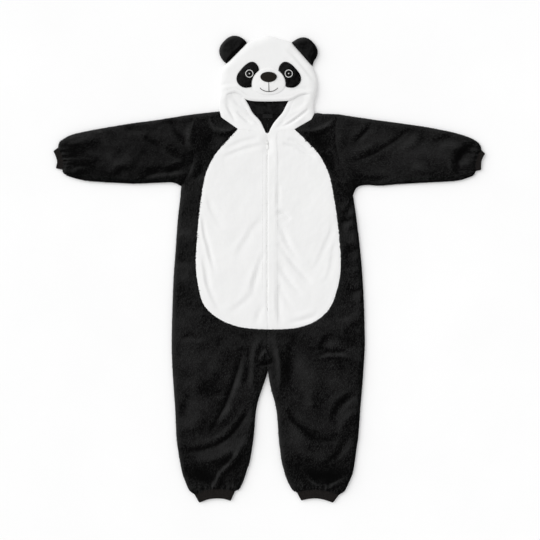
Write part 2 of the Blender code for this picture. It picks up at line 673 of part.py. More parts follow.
def make_ear(side):
    """A lightly padded D: rows outwards from the straight base, under and over."""
    a, b = (Vector(p) for p in EAR_BASE[side])
    run = (b - a).normalized()
    out = Vector((-run.y, run.x))
    middle = (a + b) / 2 + out * SEAM_GAP
    base_half = (b - a).length / 2
    ring = []
    for k in range(EAR_STEPS + 1):
        t = pi * k / EAR_STEPS
        u = EAR_HALF * abs(cos(t)) ** (2 / EAR_POWER) * (1 if cos(t) > 0 else -1)
        v = EAR_REACH * abs(sin(t)) ** (2 / EAR_POWER)
        u *= 1 - (1 - base_half / EAR_HALF) * max(0.0, 1 - v / EAR_FOOT)
        ring.append(middle + run * u + out * v)
    heart = middle + out * EAR_REACH * EAR_HEART
    points, faces, loops = [], [], []
    for inset in EAR_INSETS:
        s = sqrt(1 - (1 - inset / EAR_ROUND) ** 2)
        over, under = [], []
        for p in ring:
            q = p + (heart - p).normalized() * inset
            over.append((q.x, q.y, SEAM_HEIGHT + (EAR_HEIGHT - SEAM_HEIGHT) * s))
            under.append((q.x, q.y, SEAM_HEIGHT * (1 - s)))
        loops.append((over, under))
    layers = [layer[0] for layer in reversed(loops)] + [layer[1] for layer in loops[1:]]
    turn = EAR_STEPS + 1
    for layer in layers:
        points += layer
    for i in range(len(layers) - 1):
        for j in range(turn):
            k, m = i * turn + j, i * turn + (j + 1) % turn
            faces.append((k, m, m + turn, k + turn))
    for layer, z in ((0, EAR_HEIGHT), (len(layers) - 1, 0.0)):
        points.append((heart.x, heart.y, z))
        hub = len(points) - 1
        for j in range(turn):
            faces.append((layer * turn + j, layer * turn + (j + 1) % turn, hub))
    return solid(f"ear_{side}", points, faces, BLACK)


# ------------------------------------------------------------------------------------- face and neck label
MUZZLE_CENTRE, MUZZLE_HALF, MUZZLE_HALF_HEIGHT = (-1.0, 519.0), 48.0, 41.0
EYE_PATCH = {"left": ((-59.5, 544.5), 41.5, 29.5, 52.0), "right": ((55.5, 544.5), 41.5, 29.5, 128.0)}
NOSE_CENTRE, NOSE_HALF, NOSE_HALF_HEIGHT = (-2.0, 539.0), 24.0, 15.5
PATCH_WALL, PATCH_GAP, PATCH_RINGS = 2.0, 0.4, 2


def ellipse(centre, half, half_height, tilt=0.0, count=28):
    turn = radians(tilt)
    ring = []
    for k in range(count):
        t = 2 * pi * k / count
        u, v = half * cos(t), half_height * sin(t)
        ring.append((centre[0] + u * cos(turn) - v * sin(turn), centre[1] + u * sin(turn) + v * cos(turn)))
    return ring


def face_height(x, y):
    d = to_outline((x, y))
    s = sqrt(1 - max(0.0, 1 - d / HOOD_ROUND) ** 2)
    return SEAM_HEIGHT + SEAM_GAP / 2 + (face_lift(x, y, d) - SEAM_HEIGHT) * s


def make_patch(name, ring, lift, colour):
    """A flat applique over the hood's face, from the face's own height moved up by lift."""
    rings = PATCH_RINGS
    centre = (sum(p[0] for p in ring) / len(ring), sum(p[1] for p in ring) / len(ring))
    count = len(ring)
    points, faces = [], []
    for rise in (lift + PATCH_WALL, lift):
        for k in range(rings, 0, -1):
            for x, y in ring:
                q = (centre[0] + (x - centre[0]) * k / rings, centre[1] + (y - centre[1]) * k / rings)
                points.append((*q, face_height(*q) + rise))
        points.append((*centre, face_height(*centre) + rise))
    half = rings * count + 1
    for base in (0, half):
        for i in range(rings - 1):
            for j in range(count):
                k, m = base + i * count + j, base + i * count + (j + 1) % count
                faces.append((k, m, m + count, k + count))
        for j in range(count):
            k, m = base + (rings - 1) * count + j, base + (rings - 1) * count + (j + 1) % count
            faces.append((k, m, base + half - 1))
    for j in range(count):
        faces.append((j, (j + 1) % count, half + (j + 1) % count, half + j))
    return solid(name, points, faces, colour)


def outside_muzzle(point):
    """The point, or the nearest one just outside the muzzle."""
    u = (point[0] - MUZZLE_CENTRE[0]) / (MUZZLE_HALF + SEAM_GAP)
    v = (point[1] - MUZZLE_CENTRE[1]) / (MUZZLE_HALF_HEIGHT + SEAM_GAP)
    reach = hypot(u, v)
    if reach >= 1:
        return point
    return (
        MUZZLE_CENTRE[0] + u / reach * (MUZZLE_HALF + 2 * SEAM_GAP),
        MUZZLE_CENTRE[1] + v / reach * (MUZZLE_HALF_HEIGHT + 2 * SEAM_GAP),
    )


def make_face():
    make_patch("muzzle", ellipse(MUZZLE_CENTRE, MUZZLE_HALF, MUZZLE_HALF_HEIGHT, count=36), PATCH_GAP, WHITE)
    for side, (centre, half, half_height, tilt) in EYE_PATCH.items():
        ring = [outside_muzzle(p) for p in ellipse(centre, half, half_height, tilt)]
        make_patch(f"eye_patch_{side}", ring, PATCH_GAP, BLACK)
    nose = ellipse(NOSE_CENTRE, NOSE_HALF, NOSE_HALF_HEIGHT, count=20)
    make_patch("nose", nose, 2 * PATCH_GAP + PATCH_WALL, NOSE_BROWN)


LABEL_X, LABEL_Y, LABEL_WALL = (-19.0, 9.0), (422.0, 433.5), 0.8


def make_label():
    """A plain label inside the back of the neck."""
    z = WALL + SEAM_GAP
    points = [(x, y, height) for height in (z, z + LABEL_WALL) for y in LABEL_Y for x in LABEL_X]
    faces = [(0, 1, 3, 2), (4, 6, 7, 5), (0, 4, 5, 1), (2, 3, 7, 6), (0, 2, 6, 4), (1, 5, 7, 3)]
    return solid("neck_label", points, faces, WHITE)


# ------------------------------------------------------------------------------------------------------- zip
SLIDER_Y = 352.0
SLIDER_HALF, SLIDER_LENGTH = 3.3, 10.0
BAR = 0.6  # half the thickness of the pull's cross bar
BAR_CLEAR = 0.45
CROWN_HALF, CROWN_REACH, CROWN_WALL, CROWN_CLEAR = 0.9, 3.6, 1.1, 0.5
BODY_BEVEL, CROWN_BEVEL, CROWN_ROOT = 0.8, 0.8, 0.5  # the crown's feet reach this far into the body
PULL_HALF, PULL_EYE, PULL_LENGTH, PULL_BEVEL, ARM_INNER = 2.8, 4.9, 17.0, 1.5, 1.5
TAPE_STEPS = 16


def zip_height(y):
    return front_lift(ZIP_X + ZIP_SLOT, y, to_outline((ZIP_X, y)))


def make_tape(side):
    """A zip tape under one edge of the belly."""
    near, far = (ZIP_X + sided(side, reach) for reach in (SEAM_GAP, ZIP_TAPE))
    heights = even(TAPE_STEPS, SLOPE_END[side][1] - 4.0, ZIP_END + 1.0)
    rows = [[(near + (far - near) * t, y) for t in (0.0, 0.5, 1.0)] for y in heights]

    def wall_of(point, d, _):
        z = front_lift(*point, d) - WALL - 2 * SEAM_GAP
        return (*point, z), (*point, z - TAPE_WALL)

    return panel(f"zip_tape_{side}", rows, wall_of, ZIP_WHITE)


def prism(name, profile, low, high, colour, axis, origin=(0, 0, 0)):
    """An outline drawn across the axis and extruded along it from low to high."""
    count = len(profile)
    points = []
    for w in (low, high):
        for u, v in profile:
            points.append({"X": (w, u, v), "Z": (u, v, w)}[axis])
    faces = [tuple(range(count)), tuple(range(2 * count - 1, count - 1, -1))]
    faces += [(j, (j + 1) % count, count + (j + 1) % count, count + j) for j in range(count)]
    moved = [tuple(a + b for a, b in zip(p, origin)) for p in points]
    return solid(name, moved, faces, colour, 0.5, origin)


def pull_axis():
    """Height of the pull's hinge: its tab lies just clear of the cloth."""
    highest = max(zip_height(SLIDER_Y - step) for step in even(6, 0.0, PULL_LENGTH + 2))
    return highest + 2 * SEAM_GAP + BAR


def make_slider():
    """The slider's body on the tapes with the crown that the pull hangs on, in one piece."""
    axis_z = pull_axis()
    bottom = min(zip_height(SLIDER_Y - s) for s in even(4, -5.0, 5.0)) - WALL
    top = axis_z - BAR - BAR_CLEAR
    half = SLIDER_LENGTH / 2
    origin = (ZIP_X, SLIDER_Y, axis_z)
    low, high, slope = bottom - axis_z, top - axis_z, BODY_BEVEL
    profile = [(-half, low), (half, low), (half, high - slope), (half - slope, high), (slope - half, high)]
    profile.append((-half, high - slope))
    body = prism("zip_slider", profile, -SLIDER_HALF, SLIDER_HALF, ZIP_WHITE, "X", origin)
    roof, root, inside = BAR + CROWN_CLEAR, high - CROWN_ROOT, CROWN_REACH - CROWN_WALL
    peak = roof + CROWN_WALL
    half_arch = [
        (inside, roof), (inside, root), (CROWN_REACH, root), (CROWN_REACH, peak - CROWN_BEVEL),
        (CROWN_REACH - CROWN_BEVEL, peak),
    ]
    arch = [(-y, z) for y, z in reversed(half_arch)] + half_arch
    crown = prism("slider_crown", arch, -CROWN_HALF, CROWN_HALF, ZIP_WHITE, "X", origin)
    crown.hide_render = True
    crown.display_type = "WIRE"
    join = body.modifiers.new("crown", "BOOLEAN")
    join.operation = "UNION"
    join.object = crown
    return body


def make_pull():
    """The pull tab, flat on the cloth, with its cross bar under the slider's crown."""
    origin = (ZIP_X, SLIDER_Y, pull_axis())
    end, wide = -PULL_LENGTH, PULL_HALF
    slope = PULL_BEVEL
    outer = [(-wide, BAR), (wide, BAR), (wide, end + slope), (wide - slope, end), (slope - wide, end)]
    outer.append((-wide, end + slope))
    eye = [(-ARM_INNER, -BAR), (ARM_INNER, -BAR), (ARM_INNER, -PULL_EYE), (-ARM_INNER, -PULL_EYE)]
    tab = prism("zip_pull", outer, -BAR, BAR, ZIP_WHITE, "Z", origin)
    hole = prism("pull_eye", eye, -2 * BAR, 2 * BAR, ZIP_WHITE, "Z", origin)
    hole.hide_render = True
    hole.display_type = "WIRE"
    cut = tab.modifiers.new("eye", "BOOLEAN")
    cut.operation = "DIFFERENCE"
    cut.object = hole
    return tab


def main():
    for old in list(bpy.data.objects):
        bpy.data.objects.remove(old)
    for side in ("left", "right"):
        make_back(side)
        make_front(side)
        make_belly(side)
        make_sleeve(side)
        wrist, ankle = seam_row(WRIST_SEAM[side], ARMHOLE_MIDDLE), seam_row(ANKLE_SEAM[side], LEG_MIDDLE)
        make_cuff(f"wrist_cuff_{side}", wrist, WRIST_EDGE[side], WRIST_RIBS)
        make_cuff(f"ankle_cuff_{side}", ankle, ANKLE_EDGE[side], ANKLE_RIBS)
        make_flap(side)
        make_ear(side)
        make_tape(side)
    make_hood_back()
    make_hood_lining()
    make_hood_face()
    make_face()
    make_label()
    make_slider()
    make_pull()


main()
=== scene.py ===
"""Looks of a child's panda onesie laid flat: plush, rib cuffs, face, zip and stitching over its solids.

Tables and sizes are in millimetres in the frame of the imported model, +Y towards the hood, left and right
as seen from above. Blender gets metres.
"""

from math import atan2, cos, hypot, pi, radians, sin

import bmesh
import bpy
import numpy as np
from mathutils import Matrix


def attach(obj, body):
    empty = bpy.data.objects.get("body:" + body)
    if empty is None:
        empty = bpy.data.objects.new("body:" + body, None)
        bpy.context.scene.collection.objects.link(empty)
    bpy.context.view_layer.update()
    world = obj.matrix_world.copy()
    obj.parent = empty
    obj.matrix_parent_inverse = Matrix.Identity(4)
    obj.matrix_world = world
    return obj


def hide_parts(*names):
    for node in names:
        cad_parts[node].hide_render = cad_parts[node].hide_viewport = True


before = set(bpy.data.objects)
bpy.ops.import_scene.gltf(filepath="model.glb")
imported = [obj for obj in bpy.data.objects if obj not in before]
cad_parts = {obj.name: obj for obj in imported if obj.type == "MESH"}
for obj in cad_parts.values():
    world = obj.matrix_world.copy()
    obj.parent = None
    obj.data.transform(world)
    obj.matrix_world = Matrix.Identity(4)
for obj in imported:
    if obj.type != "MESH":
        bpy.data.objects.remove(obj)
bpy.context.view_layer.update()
MM = 0.001
SIDES = ("left", "right")

# Walls of the cloths, and the gaps between them
WALL = 3.0  # plush fleece with its pile
HOOD_WALL, RIB_WALL, LINING_WALL, TAPE_WALL, LABEL_WALL = 4.0, 2.4, 2.0, 1.0, 0.8
PATCH_WALL, MUZZLE_WALL, PATCH_GAP = 2.0, 1.3, 0.4
SEAM_GAP = 0.3
TIGHT_GAP = 0.06  # at the neck, where the seam is hidden by the pile

# Heights of the outer face
SEAM_HEIGHT = 4.5  # side seams and folds lie halfway up the garment
FRONT_ROUND, BACK_ROUND, HOOD_ROUND = 14.0, 10.0, 24.0  # reach of the quarter round at a side seam
EDGE_LIFT, MIDDLE_LIFT, LIFT_REACH = 10.5, 13.0, 80.0  # the front at its outline and this far inside
FLAP_LIFT = 10.9
FACE_LIFT, RIM_LIFT, RIM_REACH = 14.0, 16.0, 60.0  # the hood's front away from its rim and at it
LEAST_LIFT, LEAST_FLAP = 6.8, 6.2  # below these no fold goes

CENTRE_X = -4.0  # centre front and centre back seams
BELLY_FOOT, CROTCH = (CENTRE_X, -168), (CENTRE_X, -284)
BACK_NECK_Y = 435.0

ZIP_X = -6.0
ZIP_TOP, ZIP_END = 379.0, -115.0
ZIP_TAPE = 12.0  # from the middle of the zip to the tape's edge
ZIP_SLOT = 3.4  # half the width of the slot between the two halves of the belly, at the slider
ZIP_CLOSED = 0.8  # and elsewhere
SLOT_END, SLOT_SHUT = ZIP_END + 8, ZIP_END - 6  # the slot narrows to a seam between these heights
SLOT_TURNS = (  # height and half the width
    (ZIP_TOP, ZIP_CLOSED), (358.4, ZIP_CLOSED), (357.3, ZIP_SLOT), (346.6, ZIP_SLOT), (345, ZIP_CLOSED),
    (SLOT_END, ZIP_CLOSED),
)

HEM = 13.0  # from a free edge of the hood to its row of stitches
UNDER_RIM = 9.0  # how far the hood's sides run on under its rim
RIM_PARTS, RIM_MERGES = 100.0, 118.0  # from the middle: between these the rim's edge runs out

# Outline and seams, each a list of (x, y) from top to bottom or from the body outwards
ARMHOLE = {
    "left": [(-211, 433), (-218, 389), (-215, 343), (-211, 312), (-223, 271), (-246, 232)],
    "right": [(190, 433), (184, 389), (186, 344), (197, 299), (216, 254), (234, 207)],
}
NECK_SIDE = {"left": (-138.5, 441), "right": (125.6, 434.7)}
NECK_TURN = {"left": (-134.5, 424), "right": (118, 418)}  # the collar's corner in front of the shoulder
BELLY_CORNER = {"left": (-88, 391), "right": (70, 390)}
SLOPE_END = {"left": (-10.6, 380.2), "right": (-1.4, 380.2)}  # the neck seam meets the zip
SIDE = {
    "left": [
        (-246, 232), (-248, 215), (-249, 198), (-256, 137), (-262, 53), (-268, -31), (-271, -115),
        (-273, -199), (-272, -255), (-268, -325), (-263, -395), (-260, -465), (-255, -507), (-245, -563),
        (-236, -591), (-224, -618), (-209, -630),
    ],
    "right": [
        (234, 207), (237, 187), (244, 137), (254, 53), (261, -31), (265, -115), (267, -199), (265, -255),
        (260, -325), (254, -395), (249, -465), (243, -507), (235, -563), (225, -591), (211, -619),
        (195, -631),
    ],
}
INNER_LEG = {
    "left": [
        (-4, -284), (-12, -311), (-22, -339), (-31, -367), (-37, -395), (-41, -437), (-45, -479),
        (-54, -535), (-63, -563), (-72, -591), (-84, -614), (-96, -621),
    ],
    "right": [
        (-4, -284), (0, -311), (6, -339), (14, -367), (20, -395), (24, -437), (27, -479), (34, -535),
        (41, -563), (50, -591), (64, -616), (77, -624),
    ],
}
BELLY_EDGE = {
    "left": [
        (-88, 391), (-97, 380), (-121, 354), (-150, 320), (-168, 288), (-180, 254), (-190, 198),
        (-197, 137), (-202, 81), (-205, 19), (-201, -31), (-188, -87), (-166, -119), (-130, -144),
        (-87, -160), (-45, -166), (-4, -168),
    ],
    "right": [
        (70, 390), (80, 380), (107, 354), (137, 321), (156, 288), (169, 254), (180, 198), (189, 137),
        (195, 81), (199, 19), (195, -31), (179, -87), (160, -119), (130, -144), (97, -158), (57, -166),
        (-4, -168),
    ],
}
SLEEVE_TOP = {
    "left": [
        (-211, 433), (-256, 426), (-312, 417), (-379, 408), (-447, 397), (-503, 387), (-536, 380),
        (-559, 373), (-575, 364), (-587, 354), (-591, 339),
    ],
    "right": [
        (190, 433), (242, 425), (304, 416), (371, 407), (444, 396), (505, 384), (539, 375), (561, 367),
        (578, 358), (589, 347), (593, 333),
    ],
}
SLEEVE_UNDER = {
    "left": [
        (-246, 232), (-270, 242), (-318, 241), (-379, 239), (-447, 242), (-503, 246), (-533, 251),
        (-554, 257), (-568, 263), (-576, 269), (-578, 278),
    ],
    "right": [
        (234, 207), (245, 228), (270, 235), (309, 233), (371, 238), (444, 242), (503, 245), (535, 249),
        (557, 256), (571, 263), (577, 274),
    ],
}
WRIST_SEAM = {
    "left": [(-591, 339), (-582, 326), (-576, 309), (-573, 293), (-578, 278)],
    "right": [(593, 333), (584, 322), (578, 306), (575, 290), (577, 274)],
}
WRIST_EDGE = {
    "left": [(-603.5, 330), (-597, 316), (-593, 302), (-594, 292), (-597, 282)],
    "right": [(603.5, 323), (597, 312), (593, 301), (592, 289), (592, 277)],
}
ANKLE_SEAM = {
    "left": [(-209, -630), (-183, -618), (-153, -613), (-122, -615), (-96, -621)],
    "right": [(195, -631), (167, -621), (136, -615), (105, -617), (77, -624)],
}
ANKLE_EDGE = {
    "left": [(-196, -653), (-172, -644), (-151, -641), (-128, -642), (-108, -648)],
    "right": [(178, -653), (155, -645), (133, -641), (111, -642), (89, -647)],
}
HOOD_SIDE = {
    "left": [
        (-119, 574), (-129, 566), (-135, 553), (-139, 535), (-141.5, 508), (-141, 470), (-140.5, 453),
        (-138.5, 441),
    ],
    "right": [(120, 567), (130, 540), (134, 517), (132, 492), (125, 461), (124.5, 446), (125.6, 434.7)],
}
EAR_BASE = {"left": ((-119, 574), (-62, 632)), "right": ((62, 633), (120, 567))}
HOOD_TOP = [(-62, 632), (-35, 643), (-2, 651), (32, 643), (62, 633)]
RIM = [
    (-141, 478), (-128, 481), (-118, 487), (-106, 491), (-92, 491), (-78, 484), (-64, 473), (-42, 468.5),
    (-1, 467.5), (38, 468.5), (55, 470), (68, 475), (81, 482), (96, 487), (109, 488), (119, 485),
    (131, 481),
]
NECK_OPENING = {  # edges of the hood's sides, from the rim to the top of the zip
    "left": [(-66, 473), (-55.5, 454), (-46, 436), (-26, 414), (-15.9, 393), (-10.6, 380.2)],
    "right": [(55.5, 474), (45.5, 454), (36, 436), (14.6, 411), (4.0, 393), (-1.4, 380.2)],
}

# Creases: start, end, sideways bend, half-width, rise (a trough where negative) and lean (1: one flank up
# and the other down, 0: even)
BELLY_CREASES = [
    # left half, from the zip outwards and down the flank
    (-14, 155, -96, 22, -8, 11, -1.9, 0.5), (-12, 47, -50, -73, -10, 8, -3.2, 0.5),
    (-50, -59, -120, -118, 6, 9, -2.2, 0.5), (-17, -100, -41, -157, -4, 7, -2.4, 0.3),
    (-187, 156, -155, -15, -5, 7, -2.8, 0.6), (-189, 34, -139, -110, -10, 8, -2.8, 0.6),
    (-173, 210, -133, 114, -3, 10, -1.5, 0.5), (-13, 348, -133, 314, -5, 8, -2.2, 0.5),
    (-30, 369, -126, 337, -5, 9, -1.5, 0.4), (-40, 120, -110, 40, -5, 12, 1.2, 0.3),
    (-30, 20, -80, -90, -8, 12, 1.5, 0.3), (-170, 60, -150, -40, 0, 12, 1.0, 0.3),
    # right half
    (20, 153, 50, 146, 4, 8, -3.0, 0.1), (44, 149, 55, 134, 2, 7, -2.2, 0.1),
    (22, 134, 74, 30, -6, 8, -2.4, 0.5), (23, 75, 118, -45, -6, 8, -2.9, 0.5),
    (23, 22, 91, -73, -10, 8, -2.2, 0.5), (22, -11, 64, -110, -12, 8, -2.0, 0.4),
    (24, -45, 28, -157, -3, 6, -2.8, 0.4), (55, -146, 136, -129, -4, 7, -2.4, 0.3),
    (60, -134, 132, -112, -4, 9, 1.6, 0.2), (172, 134, 118, -1, 10, 10, -1.6, 0.5),
    (182, 80, 152, -40, 5, 9, -1.4, 0.5), (36, 349, 128, 313, 4, 6, -4.4, 0.2),
    (50, 364, 118, 333, 3, 6, -3.6, 0.2), (22, 245, 22, 165, 0, 6, -2.0, 0.6),
    (45, 110, 110, 0, -8, 12, 1.3, 0.3), (45, 20, 110, -80, -10, 11, 1.3, 0.3),
    (60, 300, 150, 250, -8, 16, 0.8, 0.3),
]
BODY_CREASES = [
    # shoulders and chest
    (-216, 412, -208, 326, -11, 7, 3.0, 0.3), (-166, 419, -94, 392, -22, 6, 3.2, 0.2),
    (-160, 395, -180, 330, 6, 14, -1.6, 0.3), (83, 386, 182, 415, -17, 6, 3.2, 0.2),
    (110, 370, 168, 330, -8, 13, -1.8, 0.3), (186, 410, 188, 330, 6, 9, 0.7, 0.4),
    (-185, 300, -215, 250, 4, 9, -1.8, 0.4), (170, 300, 212, 240, -6, 9, -1.8, 0.4),
    # flanks
    (-240, 215, -200, 190, -6, 9, 1.2, 0.4), (-246, 150, -206, 120, 6, 12, -0.9, 0.4),
    (-250, 96, -208, 70, 3, 9, 1.1, 0.3), (-262, 20, -210, 4, 4, 9, -1.0, 0.4),
    (-264, -30, -212, -40, 4, 12, 0.8, 0.3), (-262, -110, -190, -130, 5, 14, -0.9, 0.3),
    (232, 190, 200, 150, 5, 9, -2.0, 0.4), (240, 130, 204, 104, -4, 9, 2.2, 0.3),
    (250, 60, 206, 40, -4, 12, -1.7, 0.4), (256, 10, 210, -10, 4, 9, 1.7, 0.3),
    (262, -60, 212, -50, 5, 12, -1.6, 0.3), (258, -120, 190, -150, 5, 12, 1.6, 0.3),
    # crotch
    (-25, -186, -38, -345, -13, 6, 2.5, 0.1), (8, -186, 32, -345, 8, 6, 2.6, 0.1),
    (-14, -228, -30, -266, 0, 3.5, 2.2, 0.2), (-14, -228, 3, -262, 0, 3.5, 2.0, 0.2),
    (-32, -265, 10, -265, -3, 5, -2.8, 0.2), (-60, -215, -70, -330, 8, 11, -1.8, 0.4),
    (58, -200, 62, -330, -3, 14, -2.8, 0.3),
    # left leg
    (-72, -216, -163, -453, 8, 7, -3.0, 0.25), (-56, -376, -246, -502, 42, 8, -3.0, 0.6),
    (-40, -410, -215, -528, 42, 13, 2.2, 0.3), (-88, -440, -150, -478, 4, 10, 1.6, 0.3),
    (-240, -190, -190, -204, 2, 7, -1.8, 0.4), (-84, -506, -142, -572, 6, 5, 3.0, 0.2),
    (-136, -562, -155, -614, 0, 5, 2.8, 0.2), (-60, -470, -100, -560, -6, 8, 1.8, 0.3),
    (-240, -556, -140, -590, -8, 17, -3.0, 0.1), (-140, -230, -220, -330, 14, 16, 1.6, 0.4),
    (-200, -310, -130, -360, -12, 16, -1.6, 0.3), (-110, -370, -150, -430, 6, 12, 1.8, 0.3),
    (-225, -330, -250, -430, 4, 12, -1.2, 0.4), (-190, -400, -240, -440, 6, 12, 1.4, 0.4),
    # right leg
    (53, -396, 184, -490, -24, 8, -3.6, 0.5), (60, -440, 190, -516, -20, 13, 2.0, 0.2),
    (236, -345, 178, -430, -16, 8, -3.0, 0.5), (232, -392, 196, -470, -8, 10, 1.8, 0.3),
    (136, -244, 244, -250, 14, 7, -2.6, 0.6), (172, -180, 146, -226, -4, 10, -1.8, 0.4),
    (170, -230, 216, -290, 4, 10, -1.8, 0.4), (150, -206, 236, -236, -8, 9, 1.8, 0.2),
    (219, -457, 150, -545, 12, 8, -2.2, 0.4), (80, -545, 222, -572, -28, 16, -3.2, 0.1),
    (86, -556, 165, -617, -7, 5, 3.6, 0.2), (156, -617, 212, -590, 3, 5, 1.9, 0.2),
    (120, -290, 100, -400, 6, 14, 1.4, 0.4), (60, -330, 110, -380, 0, 12, -1.4, 0.3),
]
SLEEVE_CREASES = [
    (-349, 366, -285, 322, 0, 8, -2.6, 0.5), (-357, 250, -217, 274, 8, 9, -2.1, 0.4),
    (-290, 325, -219, 280, 4, 8, -2.4, 0.4), (-480, 385, -400, 330, -8, 11, 1.8, 0.5),
    (-450, 262, -370, 292, 8, 10, 1.8, 0.4), (-300, 408, -236, 380, 6, 10, -1.8, 0.4),
    (-560, 335, -470, 355, 6, 9, 2.2, 0.4), (-565, 300, -480, 290, 0, 8, 2.2, 0.4),
    (-548, 268, -490, 270, 4, 7, 1.8, 0.3), (-300, 270, -226, 300, 6, 8, 2.0, 0.3),
    (-420, 392, -330, 372, 4, 11, -1.4, 0.4), (-520, 330, -440, 310, 6, 12, -1.6, 0.4),
    (281, 411, 230, 352, 0, 6, -1.8, 0.5), (393, 397, 217, 299, 12, 5, -1.2, 0.5),
    (575, 352, 514, 268, -16, 9, -2.6, 0.4), (330, 250, 236, 264, 8, 9, -1.8, 0.4),
    (470, 262, 400, 290, -6, 10, 1.8, 0.4), (420, 380, 350, 340, 8, 11, 1.7, 0.4),
    (560, 330, 480, 345, -5, 9, 2.0, 0.4), (566, 296, 500, 292, 0, 8, 2.0, 0.4),
    (300, 360, 222, 330, 6, 9, 1.9, 0.3), (520, 380, 440, 350, 6, 11, -1.4, 0.4),
]
PAINTED_SHADE_AND_LIGHT = [  # creases without a lean: painted shade on the black plush where the rise is negative, painted light where it is positive
    # left leg
    (-228, -566, -130, -594, 0, 19, -8), (-100, -510, -152, -552, 0, 10, -7),
    (-208, -524, -150, -530, 0, 12, 4), (-105, -515, -85, -605, 0, 14, -6),
    (-250, -562, -90, -575, 0, 38, -3), (-247, -215, -169, -250, 0, 28, 2.5),
    (-208, -340, -138, -360, 0, 16, -3), (-245, -280, -210, -310, 0, 14, -2),
    (-82, -245, -118, -362, 0, 12, 2.5), (-161, -440, -115, -424, 0, 8, -4),
    (-84, -512, -140, -570, 6, 5, 1.5), (-138, -566, -154, -608, 0, 5, 1.5),
    (-130, -606, -100, -600, 0, 9, 3),
    # right leg
    (55, -200, 48, -345, 0, 14, -4.5), (88, -230, 110, -380, 0, 14, 3), (221, -165, 221, -220, 0, 14, -5),
    (172, -245, 241, -222, 0, 6, 4), (125, -253, 241, -250, 4, 6, -4), (241, -350, 172, -435, -18, 9, -5),
    (241, -385, 202, -416, 0, 8, 4), (47, -400, 190, -495, -22, 8, -7), (55, -468, 175, -532, -14, 14, 4),
    (62, -548, 236, -572, -18, 21, -8), (40, -540, 250, -555, 0, 45, -4), (92, -564, 164, -616, -6, 4, 8),
    (158, -615, 208, -593, 3, 4, 1.5), (150, -300, 200, -330, 0, 20, 2),
    # crotch and flanks
    (-24, -268, 14, -268, 0, 7, -7), (198, 168, 240, 168, 0, 7, 2.6), (196, 137, 240, 137, 0, 9, -4.5),
    (200, 101, 244, 101, 0, 6, 2.6), (200, 64, 250, 64, 0, 9, -3.2), (204, 33, 252, 36, 0, 7, 2.0),
    (204, 14, 254, 12, 0, 8, -2.0), (225, 225, 214, 190, 0, 10, -3.2), (-248, 78, -206, 74, 0, 7, 1.0),
    (-256, -57, -206, -57, 0, 14, -1.4), (-258, -120, -190, -150, 0, 18, 1.2),
    (-254, -9, -208, -9, 0, 6, 1.0), (-246, 190, -206, 180, 0, 8, 1.2),
    (-246, 130, -208, 134, 0, 12, -1.0), (252, 0, 225, 200, 0, 26, 3.4),
    # chest and shoulders
    (-200, 425, -165, 305, 0, 26, -7), (110, 395, 180, 280, 0, 20, -7), (-205, 300, -180, 260, 0, 10, -3),
    # sleeves
    (-572, 362, -534, 315, 0, 16, -4), (-560, 345, -490, 270, 0, 36, -3),
    (-505, 330, -390, 300, 0, 34, 2.5), (230, 320, 540, 300, 0, 50, 2.5),
    (-455, 311, -455, 252, 0, 9, -2), (-281, 404, -230, 345, 0, 8, -5), (-290, 345, -214, 294, 0, 9, -5),
    (-374, 254, -250, 268, 0, 4, 2.5), (-366, 268, -315, 270, 0, 6, -1.5),
    (-252, 252, -230, 236, 0, 9, -5), (-430, 340, -350, 320, 0, 24, 2), (287, 404, 236, 353, 0, 6, -3),
    (380, 387, 253, 311, 0, 5, -1.5), (572, 358, 524, 262, -22, 13, -12), (295, 254, 332, 258, 0, 8, -2),
    (220, 250, 250, 220, 0, 10, -6), (440, 340, 380, 300, 0, 26, 2),
]
FLAP_CREASES = [
    (-122, 460, -95, 412, -2, 6, -2.4, 0.4), (-93, 438, -50, 405, -2, 4.5, -3.4, 0.5),
    (-118, 478, -66, 430, -8, 8, 1.4, 0.4), (-100, 470, -60, 446, -4, 5, -1.4, 0.4),
    (-104, 430, -66, 402, -3, 6, 1.3, 0.4), (110, 450, 20, 392, 4, 4.5, -3.6, 0.5),
    (100, 432, 48, 402, 3, 7, 1.8, 0.3), (112, 472, 60, 440, 6, 8, 1.5, 0.4),
    (44, 418, 12, 388, 2, 5, -2.0, 0.4),
]
FACE_CREASES = [
    (43, 612, 128, 520, 5, 8, -3.6, 0.5), (30, 622, 110, 556, 8, 9, 1.6, 0.3),
    (56, 496, 126, 494, 6, 7, -2.2, 0.3), (-134, 500, -72, 486, 6, 7, 2.0, 0.4),
    (-136, 512, -92, 508, 3, 6, -1.6, 0.4), (-30, 640, 30, 636, -4, 12, 0.9, 0.2),
    (-90, 600, -128, 548, -6, 10, 1.4, 0.4), (60, 590, 120, 530, 4, 10, 1.2, 0.3),
]
BELLY_DEPTH, BODY_DEPTH, FLAP_DEPTH = 1.05, 1.9, 1.35  # the tables' rises times these
BODY_SPREAD, BODY_CORE = 1.45, 0.2  # the black plush is thicker and folds more broadly
PLACKET_LINES = [[(22, 331), (22, -166)], [(-19, 331), (-20, -60)]]  # the stitching beside the zip


# ------------------------ plane curves
def smooth(points, steps=8):
    """A polyline on the smooth curve through the points, with this many steps in each span."""
    p = np.array(points, float)
    p = np.vstack([2 * p[0] - p[1], p, 2 * p[-1] - p[-2]])
    t = np.linspace(0, 1, steps, endpoint=False)[:, None]
    spans = [
        0.5 * (2 * b + (c - a) * t + (2 * a - 5 * b + 4 * c - d) * t**2 + (3 * b - a - 3 * c + d) * t**3)
        for a, b, c, d in zip(p, p[1:], p[2:], p[3:])
    ]
    return np.vstack(spans + [p[-2:-1]])


def straight(a, b, steps=8):
    """A straight line as a polyline of even steps."""
    return np.array(a, float) + (np.array(b, float) - a) * np.linspace(0, 1, steps + 1)[:, None]


def chain(*lines):
    """One polyline from several that follow each other."""
    return np.vstack([lines[0]] + [line[1:] for line in lines[1:]])


